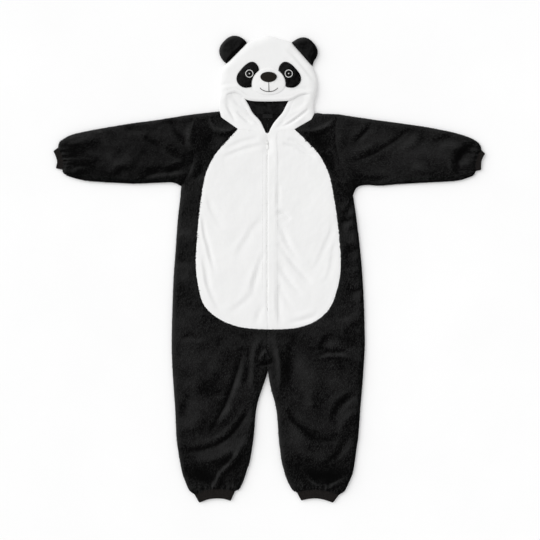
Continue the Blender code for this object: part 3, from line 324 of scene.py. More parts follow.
def lengths(line):
    """The length of the polyline up to each of its points."""
    return np.concatenate([[0], np.cumsum(np.linalg.norm(np.diff(line, axis=0), axis=1))])


def along(line, fractions):
    """Points at these fractions of the polyline's length."""
    total = lengths(line)
    wanted = np.asarray(fractions) * total[-1]
    return np.stack([np.interp(wanted, total, line[:, k]) for k in range(line.shape[1])], axis=-1)


def beside(line, amount):
    """The smooth polyline moved to its own left."""
    run = np.gradient(line, axis=0)
    run /= np.linalg.norm(run, axis=1)[:, None]
    return line + np.column_stack([-run[:, 1], run[:, 0]]) * amount


def sided(side, amount):
    """A shift to the left of a line that runs down: towards +X, so away from the middle on the right."""
    return amount if side == "right" else -amount


def close_steps(reach, count=7):
    """Distances from an edge that divide its quarter round into even turns."""
    return reach * (1 - np.cos(np.linspace(0, pi / 2, count + 1)))


def stations(line, count, near=(0,), corners=()):
    """Fractions of the line's length: these distances first, then even ones, with one on each corner."""
    total = lengths(line)[-1]
    first = np.asarray(near) / total
    fractions = np.concatenate([first[:-1], np.linspace(first[-1], 1, count)])
    for corner in corners:
        share = lengths(line)[np.argmin(np.linalg.norm(line - corner, axis=1))] / total
        fractions[np.argmin(abs(fractions - share))] = share
    return fractions


MOST_EDGE = 0.7  # share of a narrow row that its close columns may take


def across(widths, count, near_left, near_right):
    """For each row's width, fractions close together at both edges and even between them."""
    reach = near_left[-1] + near_right[-1]
    scale = np.minimum(1, MOST_EDGE * widths / reach)[:, None] / widths[:, None]
    left, right = near_left[None] * scale, 1 - near_right[None, ::-1] * scale
    t = np.linspace(0, 1, count)[None]
    middle = left[:, -1:] + (right[:, :1] - left[:, -1:]) * t
    return np.hstack([left[:, :-1], middle, right[:, 1:]])


def panel_net(
    left, right, rows, columns, near_left, near_right, near_top=(0,), corners=(), top=None, bottom=None
):
    """Rows of points from a left line to a right one, bent to a curved top or bottom row.

    The near distances are those of the points that stand close together at an edge, and the right line
    keeps its corners.
    """
    lefts = along(left, stations(left, rows, near_top))
    rights = along(right, stations(right, rows, near_top, corners))
    fractions = across(np.linalg.norm(rights - lefts, axis=1), columns, near_left, near_right)
    v = np.linspace(0, 1, len(lefts))[:, None, None]
    points = lefts[:, None] + (rights - lefts)[:, None] * fractions[..., None]
    for line, row, weight in ((top, 0, 1 - v), (bottom, -1, v)):
        if line is not None:
            chord = lefts[row] + (rights[row] - lefts[row]) * fractions[..., None]
            points = points + (along(line, fractions) - chord) * weight
    return points


def distance(x, y, lines):
    """Distance from each point to the nearest of these polylines."""
    best = np.full(x.shape, 1e12)
    for line in lines:
        for (ax, ay), (bx, by) in zip(line, line[1:]):
            run_x, run_y = bx - ax, by - ay
            run = run_x * run_x + run_y * run_y
            if run > 0:
                t = np.clip(((x - ax) * run_x + (y - ay) * run_y) / run, 0, 1)
                np.minimum(best, (x - ax - run_x * t) ** 2 + (y - ay - run_y * t) ** 2, out=best)
    return np.sqrt(best)


COARSE = 5  # steps in a span of a line that only distances are measured to


def outline():
    """The garment's outline without its ears and cuffs."""
    upper = [
        smooth(SLEEVE_TOP["left"], COARSE)[::-1], [NECK_SIDE["left"]], smooth(HOOD_SIDE["left"])[::-1],
        smooth(HOOD_TOP),
        smooth(HOOD_SIDE["right"]), [NECK_SIDE["right"]], smooth(SLEEVE_TOP["right"], COARSE),
    ]
    legs = chain(smooth(INNER_LEG["left"], COARSE)[::-1], smooth(INNER_LEG["right"], COARSE))
    flanks = [chain(smooth(SLEEVE_UNDER[side], COARSE)[::-1], smooth(SIDE[side], COARSE)) for side in SIDES]
    return [np.vstack(upper), legs, *flanks]


def belly_seams():
    """The seams that show on the front: round the belly, below it, at the armholes and at the neck."""
    lines = [np.array([BELLY_FOOT, CROTCH], float)]
    for side in SIDES:
        lines += [smooth(BELLY_EDGE[side], COARSE), smooth(ARMHOLE[side], COARSE)]
        lines.append(np.array([NECK_SIDE[side], NECK_TURN[side], BELLY_CORNER[side]], float))
    return lines


OUTLINE, SEAMS = outline(), belly_seams()
NECK_SEAMS = [np.array([BELLY_CORNER[side], SLOPE_END[side]], float) for side in SIDES]
ZIP_EDGES = [
    np.array([(ZIP_X + sided(side, ZIP_CLOSED), y) for y in (ZIP_TOP + 2, SLOT_END)] + [BELLY_FOOT])
    for side in SIDES
]


# ------------------------ heights of cloth
def eased(t):
    """A share from 0 to 1, with a soft start and end."""
    return t * t * (3 - 2 * t)


def ramp(value, start, end):
    """0 before the start and 1 past the end, which may be the lower one, and even between them."""
    return np.clip((value - start) / (end - start), 0, 1)


def closeness(away, reach):
    """1 on a line and 0 beyond this reach, even between them."""
    return np.clip(1 - away / reach, 0, 1)


def bell(away, reach):
    """1 on a line, fading like a bell over about this reach."""
    return np.exp(-((away / reach) ** 2))


def rounded(away, reach):
    """Share of the full height this far inside an edge with a quarter round of this reach."""
    return np.sqrt(1 - closeness(away, reach) ** 2)


NOISE_CELLS = 64  # along either side, before the noise repeats


def noise(x, y, size, seed):
    """Smooth noise between -1 and 1, with features of about this size."""
    cells = np.random.default_rng(seed).uniform(-1, 1, (NOISE_CELLS, NOISE_CELLS))
    u, v = x / size, y / size
    i, j = np.floor(u).astype(int), np.floor(v).astype(int)
    a, b = eased(u - i), eased(v - j)

    def at(m, n):
        return cells[m % NOISE_CELLS, n % NOISE_CELLS]

    low = at(i, j) * (1 - a) + at(i + 1, j) * a
    return low * (1 - b) + (at(i, j + 1) * (1 - a) + at(i + 1, j + 1) * a) * b


STRAY, UNEVEN = 4.0, 0.25  # how far creases stray from their lines, and how much their depth varies
LEAN_GAIN = 2.33  # makes the flanks of a leaning crease as high as an even one
CORE_SHARPNESS = 2.6


def creases(x, y, table, depth=1.0, spread=1.0, core=0.35):
    """The rise of these creases, their lines a little unsteady and their depth uneven."""
    x, y = x + STRAY * noise(x, y, 55, 1), y + STRAY * noise(x, y, 55, 2)
    rise = np.zeros(x.shape)
    for x0, y0, x1, y1, bend, width, height, lean in table:
        run = hypot(x1 - x0, y1 - y0)
        ux, uy = (x1 - x0) / run, (y1 - y0) / run
        inside = np.clip(((x - x0) * ux + (y - y0) * uy) / run, 0, 1)
        bow = bend * 4 * inside * (1 - inside)
        off = ((y - y0) * ux - (x - x0) * uy - bow) / (width * spread)
        taper = np.sin(pi * inside) ** 0.7
        rise += height * taper * bell(off, 1) * (1 - lean + lean * LEAN_GAIN * off)
        if height < 0:  # a sharp line in the middle of a trough
            rise += core * height * taper * bell(CORE_SHARPNESS * off, 1)
    return depth * rise * (1 + UNEVEN * noise(x, y, 38, 3))


def body_creases(x, y):
    """The folds of the black plush."""
    return creases(x, y, BODY_CREASES + SLEEVE_CREASES, BODY_DEPTH, BODY_SPREAD, BODY_CORE)


def waves(x, y):
    """The cloth's own slackness."""
    return 0.8 * noise(x, y, 90, 4) + 0.45 * noise(x, y, 42, 5) + 0.25 * noise(x, y, 19, 6)


def nap(x, y):
    """Tufting of the pile."""
    return 0.22 * noise(x, y, 9, 7) + 0.14 * noise(x, y, 5, 8)


GATHER_REACH, GATHER_PITCH, GATHER_RISE = 55.0, 13.0, 0.7
GATHER_STRAY, GATHER_UNEVEN = 3.4, 0.8


def gathers(x, y, seam, run):
    """Ridges into the rib cuff at this seam, side by side along the run, uneven and fading up the cloth."""
    near = closeness(distance(x, y, [seam]), GATHER_REACH)
    across_x, across_y = x - seam[len(seam) // 2][0], y - seam[len(seam) // 2][1]
    u = across_x * run[0] + across_y * run[1]
    v = across_y * run[0] - across_x * run[1]
    phase = 2 * pi * u / GATHER_PITCH + GATHER_STRAY * noise(u, v * 0.3, 24, 9)
    return GATHER_RISE * near**1.6 * np.cos(phase) * (1 + GATHER_UNEVEN * noise(u, v, 17, 10))


CUFF_VALLEY, SEAM_VALLEY, ZIP_VALLEY, NECK_VALLEY = (1.6, 5), (0.6, 4), (0.5, 2), (0.8, 3)  # depth, reach


def valley(x, y, lines, depth, reach):
    """How far the cloth sinks along these lines."""
    return depth * bell(distance(x, y, lines), reach)


PLACKET_RISE, FACING_RISE, ZIP_SLOPE = 1.9, 0.7, 3.0  # right of the zip and left, and the slopes beside it
PLACKET_EDGE, FACING_EDGE = (23.0, 19.0), (-22.0, -14.0)  # foot and top of their outer slopes
PLACKET_STRAY, PLACKET_UNEVEN = 1.2, 0.25
PLACKET_FOOT_FADE, PLACKET_TOP_FADE = 60.0, 12.0


def placket(x, y):
    """The raised hem that runs down the right of the zip, and the softer one on its left."""
    foot, top = BELLY_FOOT[1], ZIP_TOP + 4
    fade = ramp(y, foot, foot + PLACKET_FOOT_FADE) * ramp(y, top, top - PLACKET_TOP_FADE)
    fade *= 1 - PLACKET_UNEVEN * (1 - noise(x, y, 70, 12))
    x = x + PLACKET_STRAY * noise(np.zeros_like(x), y, 45, 13)
    right = ramp(x, ZIP_X, ZIP_X + ZIP_SLOPE) * ramp(x, *PLACKET_EDGE)
    left = ramp(x, ZIP_X, ZIP_X - ZIP_SLOPE) * ramp(x, *FACING_EDGE)
    return fade * (PLACKET_RISE * right + FACING_RISE * left)


PULL_SEAT = 9.7  # the cloth stays below the pull tab, which lies on it
PULL_HALF, PULL_FOOT, PULL_TOP, PULL_FADE = 13.0, 314.0, 377.0, 18.0  # where its seat lies and how it fades


def near_pull(x, y):
    """1 at the zip's slider and tab, 0 away from them."""
    low, high = ramp(y, PULL_FOOT, PULL_FOOT + PULL_FADE), ramp(y, PULL_TOP, PULL_TOP - PULL_FADE)
    return bell(x - ZIP_X, PULL_HALF) * low * high


def front_top(x, y, d):
    """Height of the front's outer face, this far inside the garment's outline."""
    lift = EDGE_LIFT + (MIDDLE_LIFT - EDGE_LIFT) * eased(np.minimum(d / LIFT_REACH, 1))
    lift += body_creases(x, y) + creases(x, y, BELLY_CREASES, BELLY_DEPTH) + waves(x, y)
    for side in SIDES:
        wrist, ankle = smooth(WRIST_SEAM[side], 4), smooth(ANKLE_SEAM[side], 4)
        lift += gathers(x, y, wrist, (0, 1)) + gathers(x, y, ankle, (1, 0))
        lift -= valley(x, y, [wrist, ankle], *CUFF_VALLEY)
    lift -= valley(x, y, SEAMS, *SEAM_VALLEY) + valley(x, y, ZIP_EDGES, *ZIP_VALLEY)
    lift = np.maximum(lift + placket(x, y), LEAST_LIFT) + nap(x, y)
    return np.where(lift > PULL_SEAT, lift + (PULL_SEAT - lift) * near_pull(x, y), lift)


def neck_line(side):
    """The seam between the hood's side and the black front."""
    turn = NECK_TURN[side]
    return chain(straight(NECK_SIDE[side], turn, 4), straight(turn, BELLY_CORNER[side]))


def rim_line():
    """The edge of the rim, from one side of the hood's outline to the other."""
    line = smooth(RIM)
    for k, side in ((0, "left"), (-1, "right")):
        outer = smooth(HOOD_SIDE[side])[::-1]
        line[k, 0] = np.interp(line[k, 1], outer[:, 1], outer[:, 0])
    return line


def at_rim_end(x):
    """1 where the rim has run out into the hood's side, 0 where it stands over it."""
    return ramp(abs(x - CENTRE_X), RIM_PARTS, RIM_MERGES)


def tuck(x):
    """How far above the rim the hood's side ends, under it."""
    return (UNDER_RIM + TIGHT_GAP) * (1 - at_rim_end(x)) - TIGHT_GAP


FACE_HEM, FLAP_HEM = (0.7, 2.4, 4.0, 5.0), (0.6, 2.6, 3.0, 4.0)  # dip and its reach, roll and its reach
FACE_WAVES, FLAP_WAVES, LINING_WAVES = 0.5, 0.4, 0.25  # shares of the body's slackness
MEETING = 16.0  # reach over which a cloth takes the height of the one that it meets
WHITE_NAP = 0.7  # the hood's pile against the body's


def hem(away, dip, dip_reach, roll, roll_reach):
    """How far a hem sinks, this far from its edge: it dips at its stitches and rolls down at the edge."""
    return dip * bell(away - HEM, dip_reach) + roll * closeness(away, roll_reach) ** 2


def face_top(x, y, d):
    """The hood's front is highest at its rim, over the hood's sides."""
    rim = distance(x, y, [rim_line()])
    lift = FACE_LIFT + (RIM_LIFT - FACE_LIFT) * eased(closeness(rim, RIM_REACH))
    lift += creases(x, y, FACE_CREASES) + FACE_WAVES * waves(x, y)
    return lift - hem(rim, *FACE_HEM) * (1 - at_rim_end(x)) + WHITE_NAP * nap(x, y)


def flap_top(x, y, d):
    """The hood's sides, which meet the belly and the ends of the hood's rim at the same height."""
    lift = FLAP_LIFT + creases(x, y, FLAP_CREASES, FLAP_DEPTH) + FLAP_WAVES * waves(x, y)
    lift -= hem(distance(x, y, [smooth(NECK_OPENING[side]) for side in SIDES]), *FLAP_HEM)
    lift -= valley(x, y, [neck_line(side) for side in SIDES], *NECK_VALLEY)
    lift = np.maximum(lift, LEAST_FLAP) + WHITE_NAP * nap(x, y)
    lift += (front_top(x, y, d) - lift) * bell(distance(x, y, NECK_SEAMS), MEETING)
    return lift + (face_top(x, y, d) - lift) * at_rim_end(x) * bell(distance(x, y, [rim_line()]), MEETING)


def rising(points, lift_of, reach):
    """Heights over a net of points that rise from the side seam round a quarter round."""
    x, y = points[..., 0], points[..., 1]
    d = distance(x, y, OUTLINE)
    z = SEAM_HEIGHT + SEAM_GAP / 2 + (lift_of(x, y, d) - SEAM_HEIGHT) * rounded(d, reach)
    return np.dstack([x, y, z])


def lying(points):
    """Heights of a cloth that lies on the surface and turns up to the side seam."""
    x, y = points[..., 0], points[..., 1]
    turned = 1 - rounded(distance(x, y, OUTLINE), BACK_ROUND)
    return np.dstack([x, y, (SEAM_HEIGHT - SEAM_GAP / 2) * turned])


# ------------------------ meshes
def mesh_piece(name, points, faces, material):
    """One piece from points in millimetres, its faces turned outwards."""
    mesh = bpy.data.meshes.new(name)
    mesh.from_pydata((np.asarray(points, float) * MM).tolist(), [], faces)
    shape = bmesh.new()
    shape.from_mesh(mesh)
    bmesh.ops.recalc_face_normals(shape, faces=shape.faces)
    shape.to_mesh(mesh)
    shape.free()
    mesh.shade_smooth()
    mesh.materials.append(material)
    piece = bpy.data.objects.new(name, mesh)
    bpy.context.scene.collection.objects.link(piece)
    return piece


def ring_faces(rings, sides, first=0, looped=False):
    """Faces over rings of points, numbered from the first on, with a face on each end or looped."""
    faces = []
    for i in range(rings if looped else rings - 1):
        here, after = first + i * sides, first + (i + 1) % rings * sides
        for j in range(sides):
            k = (j + 1) % sides
            faces.append((here + j, here + k, after + k, after + j))
    if not looped:
        last = first + (rings - 1) * sides
        faces += [tuple(range(first, first + sides)), tuple(range(last, last + sides))]
    return faces


def stack(name, rows, material):
    """A closed piece from rings of points that follow each other."""
    return mesh_piece(name, np.vstack(rows), ring_faces(len(rows), len(rows[0])), material)


LEAST_SINE = 0.35  # at a corner of the net where its two edges run on in one line, a normal means nothing


def filled(turn, sound):
    """The unit normals, with each unsound one replaced by the mean of its neighbours."""
    high, wide = sound.shape
    turn, sound = turn * sound[..., None], sound.copy()
    while not sound.all():
        edged = np.pad(turn, ((1, 1), (1, 1), (0, 0)))
        near = sum(edged[i : i + high, j : j + wide] for i in range(3) for j in range(3))
        size = np.linalg.norm(near, axis=2)
        found = (size > 0) & ~sound
        turn[found] = near[found] / size[found][:, None]
        sound |= found
    return turn


def normals(points, upward, ring=False):
    """Unit normals of a net of points, on average upwards or downwards unless its rows are rings."""
    fall = np.gradient(points, axis=0)
    if ring:
        wrapped = np.concatenate([points[:, -1:], points, points[:, :1]], axis=1)
        run = wrapped[:, 2:] - wrapped[:, :-2]
    else:
        run = np.gradient(points, axis=1)
    turn = np.cross(run, fall)
    size = np.linalg.norm(turn, axis=2)
    turn /= size[..., None]
    if ring:
        return turn
    sound = size > LEAST_SINE * np.linalg.norm(run, axis=2) * np.linalg.norm(fall, axis=2)
    turn = filled(turn, sound)
    return turn if (turn[..., 2].sum() > 0) == upward else -turn


CUT_EDGE = radians(55)  # cloth is smooth up to its cut edges


def cloth_piece(name, outer, inner, quads, edges, material):
    """A closed cloth from its outer and inner points, its outer face's quads and those of its edges."""
    faces = np.vstack([quads, quads[:, ::-1] + outer.size // 3, *edges]).tolist()
    piece = mesh_piece(name, np.vstack([outer.reshape(-1, 3), inner.reshape(-1, 3)]), faces, material)
    piece.data.set_sharp_from_angle(angle=CUT_EDGE)
    return piece


def shell(name, outer, wall, material, upward=True):
    """A closed cloth panel: its outer face, its inner face a wall away, and its edge."""
    inner = outer - normals(outer, upward) * wall
    high, wide = outer.shape[:2]
    index = np.arange(high * wide).reshape(high, wide)
    quads = np.stack([index[:-1, :-1], index[:-1, 1:], index[1:, 1:], index[1:, :-1]], axis=-1)
    edge = np.concatenate([index[0, :-1], index[:-1, -1], index[-1, :0:-1], index[:0:-1, 0]])
    after, base = np.roll(edge, -1), high * wide
    walls = np.stack([after, edge, edge + base, after + base], axis=-1)
    return cloth_piece(name, outer, inner, quads.reshape(-1, 4), [walls], material)


def tube(name, outer, inner, material):
    """A closed cloth tube, open at both ends, from its outer and inner rings."""
    high, turn = outer.shape[:2]
    index, base = np.arange(high * turn).reshape(high, turn), high * turn
    after = np.roll(index, -1, axis=1)
    quads = np.stack([index[:-1], after[:-1], after[1:], index[1:]], axis=-1).reshape(-1, 4)
    ends = [
        np.stack([index[k], index[k] + base, after[k] + base, after[k]], axis=-1)[:, :: 1 if k else -1]
        for k in (0, -1)
    ]
    return cloth_piece(name, outer, inner, quads, ends, material)


BLACK_PILE, WHITE_PILE = (3.2, 4.5, 0.9), (1.4, 2.0, 0.3)  # a tuft's share of the cloth, length and rise
TUFT_FOOT = [(-0.8, 0.0, 0.12), (0.5, -1.0, -0.22), (0.5, 1.0, -0.22)]  # along, across and up
TUFT_SWIRL, TUFT_SCATTER, TUFT_SIZES = 0.7, 0.45, (0.6, 1.3)


def tufts(name, cloth, pile, material, seed, lean=(0, -1), middle=None):
    """Pointed tufts over a net of points, four faces each, that lean one way or away from a middle."""
    spacing, length, rise = pile
    dice = np.random.default_rng(seed)
    a, b, c = cloth[:-1, :-1], cloth[1:, :-1], cloth[:-1, 1:]
    areas = np.linalg.norm(np.cross(b - a, c - a), axis=2).ravel()
    count = int(areas.sum() / spacing**2)
    cell = dice.choice(len(areas), count, p=areas / areas.sum())
    i, j = np.divmod(cell, cloth.shape[1] - 1)
    u, v = dice.random((2, count, 1))
    low = cloth[i, j] * (1 - v) + cloth[i, j + 1] * v
    place = low * (1 - u) + (cloth[i + 1, j] * (1 - v) + cloth[i + 1, j + 1] * v) * u
    up = normals(cloth, True)[i, j]
    if middle is None:
        turn = atan2(lean[1], lean[0])
    else:
        turn = np.arctan2(place[:, 1] - middle[1], place[:, 0] - middle[0])
    swirl = TUFT_SWIRL * noise(place[:, 0], place[:, 1], 30, seed)
    turn = turn + swirl + dice.normal(0, TUFT_SCATTER, count)
    run = np.column_stack([np.cos(turn), np.sin(turn), np.zeros(count)])
    run -= up * (run * up).sum(axis=1)[:, None]
    size = dice.uniform(*TUFT_SIZES, (count, 1))
    out = np.cross(up, run)
    tip = place + run * length * size + up * rise * size
    root = [place + run * m * size + out * n * size + up * h for m, n, h in TUFT_FOOT]
    points = np.stack(root + [tip], axis=1).reshape(-1, 3)
    first = 4 * np.arange(count)[:, None, None]
    faces = (first + np.array([(0, 2, 1), (0, 1, 3), (1, 2, 3), (2, 0, 3)])).reshape(-1, 3)
    piece = mesh_piece(name, points, faces.tolist(), material)
    piece.data.shade_flat()  # each face takes the painted light of its own flat normal, close to that of the cloth below it
    return piece


# ------------------------ materials
def shader_of(name, roughness, sheen=0.0, sheen_roughness=0.4, specular=0.05):
    """A new material and its shader."""
    material = bpy.data.materials.new(name)
    material.use_nodes = True
    shader = material.node_tree.nodes["Principled BSDF"]
    shader.inputs["Roughness"].default_value = roughness
    shader.inputs["Specular IOR Level"].default_value = specular
    shader.inputs["Sheen Weight"].default_value = sheen
    shader.inputs["Sheen Roughness"].default_value = sheen_roughness
    shader.inputs["Sheen Tint"].default_value = (1, 1, 1, 1)
    return material, shader


def node(material, kind, **values):
    """A new node, with values for its inputs or its own settings."""
    made = material.node_tree.nodes.new(kind)
    for name, value in values.items():
        key = name.replace("_", " ").title()
        if key in made.inputs:
            made.inputs[key].default_value = value
        else:
            setattr(made, name, value)
    return made


def link(material, output, target):
    """Joins one node's output to another's input."""
    material.node_tree.links.new(output, target)


def grain(material, scale, stretch=(1, 1, 1), detail=3.0, roughness=0.55):
    """Noise over the object's own place, features per metre, stretched along its axes."""
    place = node(material, "ShaderNodeTexCoord")
    mapping = node(material, "ShaderNodeMapping", scale=stretch)
    texture = node(material, "ShaderNodeTexNoise", scale=scale, detail=detail, roughness=roughness)
    link(material, place.outputs["Object"], mapping.inputs["Vector"])
    link(material, mapping.outputs["Vector"], texture.inputs["Vector"])
    return texture.outputs["Fac"]


def paint(material, shader, share, dark, light, low=0.3, high=0.7):
    """Colours the shader between two colours, by a share that is stretched between low and high."""
    colours = node(material, "ShaderNodeValToRGB")
    for stop, place, colour in zip(colours.color_ramp.elements, (low, high), (dark, light)):
        stop.position, stop.color = place, (*colour, 1)
    link(material, share, colours.inputs["Fac"])
    link(material, colours.outputs["Color"], shader.inputs["Base Color"])


def between(material, first, second, weight):
    """The first value, moved towards the second by this weight."""
    mix = node(material, "ShaderNodeMix", data_type="FLOAT")
    mix.inputs[0].default_value = weight
    link(material, first, mix.inputs[2])
    link(material, second, mix.inputs[3])
    return mix.outputs[0]


def scaled(material, value, factor, shift):
    """The value times a factor plus a shift, which is a number or another value."""
    total = node(material, "ShaderNodeMath", operation="MULTIPLY_ADD")
    link(material, value, total.inputs[0])
    total.inputs[1].default_value = factor
    if isinstance(shift, float):
        total.inputs[2].default_value = shift
    else:
        link(material, shift, total.inputs[2])
    return total.outputs[0]


def bump(material, shader, height, depth):
    """Raises the shader's surface by this height, of up to this depth in metres."""
    made = node(material, "ShaderNodeBump", strength=1.0, distance=depth)
    link(material, height, made.inputs["Height"])
    link(material, made.outputs["Normal"], shader.inputs["Normal"])


PAINTED_FOLD_SHADE = 0.038  # painted shade and light: share of the lighter colour a millimetre of painted fold height
PAINTED_LIGHT_TOWARDS = (-0.75, 0.66, 0.0)  # painted light: the colour is lighter where the cloth's normal turns this way, towards the sun


def fleece(name, dark, light, middle, mottle, painted_light, sheen, depth):
    """Plush: brushed pile in tufts and in patches, with painted light where it turns to the sun and painted
    shade and light on its folds.
    """
    material, shader = shader_of(name, roughness=0.7, sheen=sheen, specular=0.03)
    pile = grain(material, 190, (1, 0.6, 1), detail=4.0, roughness=0.6)
    patches = grain(material, 13, (0.8, 1.3, 1))
    share = scaled(material, between(material, pile, patches, 0.65), mottle, middle - 0.5 * mottle)
    # painted light: the share grows where the normal turns towards the sun
    place = node(material, "ShaderNodeTexCoord")
    painted_light_dot = node(material, "ShaderNodeVectorMath", operation="DOT_PRODUCT")
    painted_light_dot.inputs[1].default_value = PAINTED_LIGHT_TOWARDS
    link(material, place.outputs["Normal"], painted_light_dot.inputs[0])
    share = scaled(material, painted_light_dot.outputs["Value"], painted_light, share)
    # painted shade in troughs and painted light on ridges, stored on the black pieces
    painted_shade = node(material, "ShaderNodeAttribute", attribute_name="painted_shade")
    share = scaled(material, painted_shade.outputs["Fac"], PAINTED_FOLD_SHADE, share)
    paint(material, shader, share, dark, light, low=0.0, high=1.0)
    fibres = grain(material, 900, (1, 0.4, 1), detail=2.0)
    bump(material, shader, between(material, pile, fibres, 0.25), depth)
    return material


def knit(name, dark, light):
    """Rib knit: fine yarn over the ribs that are in the mesh."""
    material, shader = shader_of(name, roughness=0.9, sheen=0.08)
    yarn = grain(material, 1400, detail=2.0)
    paint(material, shader, grain(material, 300), dark, light)
    bump(material, shader, yarn, depth=0.0004)
    return material


def plain_cloth(name, dark, light, scale, depth, roughness=0.9, sheen=0.0):
    """Plain cloth with an even grain, this many features a metre."""
    material, shader = shader_of(name, roughness, sheen, sheen_roughness=0.5)
    paint(material, shader, grain(material, scale), dark, light)
    bump(material, shader, grain(material, scale * 3), depth)
    return material


def twill(name, dark, light, pitch):
    """Woven tape or satin thread: fine diagonal bands, a little uneven."""
    material, shader = shader_of(name, roughness=0.6, sheen=0.2)
    place = node(material, "ShaderNodeTexCoord")
    scale = pi / pitch / 10  # ten times the scaled place is a diagonal band's phase
    bands = node(material, "ShaderNodeTexWave", scale=scale, distortion=0.6, bands_direction="DIAGONAL")
    link(material, place.outputs["Object"], bands.inputs["Vector"])
    paint(material, shader, bands.outputs["Fac"], dark, light, low=0.1, high=0.9)
    bump(material, shader, bands.outputs["Fac"], depth=0.0002)
    return material


def moulded(name, colour, roughness):
    """Moulded plastic, its colour and surface a little uneven."""
    material, shader = shader_of(name, roughness, specular=0.5)
    worn = grain(material, 500, detail=2.0)
    paint(material, shader, worn, tuple(0.9 * c for c in colour), colour)
    bump(material, shader, worn, depth=0.00005)
    return material


BLACK_FLEECE = fleece(
    "black_fleece", (0.0009, 0.0009, 0.0009), (0.031, 0.031, 0.031),
    middle=0.15, mottle=1.3, painted_light=1.55, sheen=0.04, depth=0.0022,
)
WHITE_FLEECE = fleece(
    "white_fleece", (0.79, 0.79, 0.787), (0.85, 0.85, 0.847),
    middle=0.5, mottle=1.0, painted_light=0.0, sheen=0.3, depth=0.0005,
)
RIB = knit("black_rib", (0.0078, 0.0068, 0.0064), (0.0155, 0.0132, 0.0124))
LINING = plain_cloth("black_lining", (0.001, 0.001, 0.001), (0.013, 0.013, 0.013), scale=90, depth=0.0016)
NOSE_FELT = plain_cloth(
    "nose_felt", (0.009, 0.008, 0.006), (0.018, 0.015, 0.012),
    scale=420, depth=0.0004, roughness=0.8, sheen=0.05,
)
TAPE = twill("zip_tape", (0.74, 0.74, 0.73), (0.84, 0.84, 0.83), pitch=0.0012)
TRIM = moulded("zip_plastic", (0.93, 0.93, 0.915), roughness=0.4)
LABEL = twill("plain_label", (0.007, 0.007, 0.007), (0.014, 0.014, 0.014), pitch=0.0009)
WHITE_THREAD = twill("white_thread", (0.72, 0.72, 0.71), (0.86, 0.86, 0.85), pitch=0.0008)
DARK_THREAD = twill("dark_thread", (0.045, 0.042, 0.04), (0.08, 0.075, 0.07), pitch=0.0008)
FLOOR = plain_cloth("floor", (0.93, 0.93, 0.93), (0.95, 0.95, 0.95), scale=3, depth=0.0002, roughness=0.8)


# ------------------------ body and belly
STEP = 4.0  # spacing of the points on the open cloth
# Distances of the closest points from an outer edge, a seam and the back's edge
EDGE, SEAM_EDGE, BACK_EDGE = close_steps(FRONT_ROUND), close_steps(8.0, 5), close_steps(BACK_ROUND, 5)
# depth and spread of the table of painted shade and light
PAINTED_SHADE_DEPTH, PAINTED_SHADE_SPREAD = 1.3, 1.2
PAINTED_FOLD_SHARE = 0.5  # of the folds' own rise that is painted, as shade in the troughs and light on the ridges
FLANK_SHARE = 0.62  # of the belly's edge: from there on it is the foot of the belly
BELLY_MIDDLE = (CENTRE_X, 80.0)  # the pile at the belly's edge points away from here


def store_painted_shade(piece):
    """Stores the painted shade and light of each point of a black piece, from its folds and from the table.
    """
    mesh = piece.data
    places = np.empty(3 * len(mesh.vertices))
    mesh.vertices.foreach_get("co", places)
    x, y = places.reshape(-1, 3)[:, :2].T / MM
    painted_places = creases(x, y, [(*row, 0) for row in PAINTED_SHADE_AND_LIGHT], PAINTED_SHADE_DEPTH, PAINTED_SHADE_SPREAD)
    painted_shade = PAINTED_FOLD_SHARE * body_creases(x, y) + painted_places
    mesh.attributes.new("painted_shade", "FLOAT", "POINT").data.foreach_set("value", painted_shade)


def keep(piece, slot, *nodes, body="garment"):
    """Lets the piece ride on its body and hides the solids that it stands for; a black fleece piece gets
    its painted shade and light.
    """
    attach(piece, body)
    # a black fleece piece gets its painted shade and light
    if slot == "black_fleece":
        store_painted_shade(piece)
    if nodes:
        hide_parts(*nodes)
    return piece


def count_of(line):
    """How many points at the usual spacing the line has."""
    return int(lengths(line)[-1] / STEP)


def outer_line(side):
    """The armhole and the side of the body and leg, down to the ankle."""
    return chain(beside(smooth(ARMHOLE[side]), sided(side, -SEAM_GAP / 2)), smooth(SIDE[side]))


def make_front(side):
    """A black front half with its leg, cut out round its half of the belly."""
    seams = [neck_line(side), smooth(BELLY_EDGE[side]), straight(BELLY_FOOT, CROTCH)]
    inner = chain(*(beside(seam, sided(side, SEAM_GAP / 2)) for seam in seams), smooth(INNER_LEG[side]))
    corners = [NECK_TURN[side], BELLY_CORNER[side], BELLY_FOOT, CROTCH]
    points = panel_net(
        outer_line(side), inner, rows=count_of(inner), columns=46, near_left=EDGE, near_right=EDGE,
        near_top=EDGE, corners=corners, bottom=smooth(ANKLE_SEAM[side]),
    )
    cloth = rising(points, front_top, FRONT_ROUND)
    piece = shell(f"front_{side}_plush", cloth, WALL, BLACK_FLEECE)
    keep(piece, "black_fleece", f"front_{side}")
    keep(tufts(f"front_{side}_pile", cloth, BLACK_PILE, BLACK_FLEECE, seed=21), "black_fleece")


def make_back(side):
    """A black back half with its leg, from the hood's seam to the ankle."""
    centre = beside(straight((CENTRE_X, BACK_NECK_Y), CROTCH), sided(side, SEAM_GAP / 2))
    outer, inner = outer_line(side), chain(centre, smooth(INNER_LEG[side]))
    shoulder = (NECK_SIDE[side][0], BACK_NECK_Y)
    points = panel_net(
        outer, inner, rows=count_of(inner) // 3, columns=20, near_left=BACK_EDGE, near_right=BACK_EDGE,
        near_top=BACK_EDGE, corners=[CROTCH],
        top=chain(straight(outer[0], shoulder), straight(shoulder, inner[0])),
        bottom=smooth(ANKLE_SEAM[side]),
    )
    piece = shell(f"back_{side}_plush", lying(points), WALL, BLACK_FLEECE, upward=False)
    keep(piece, "black_fleece", f"back_{side}")


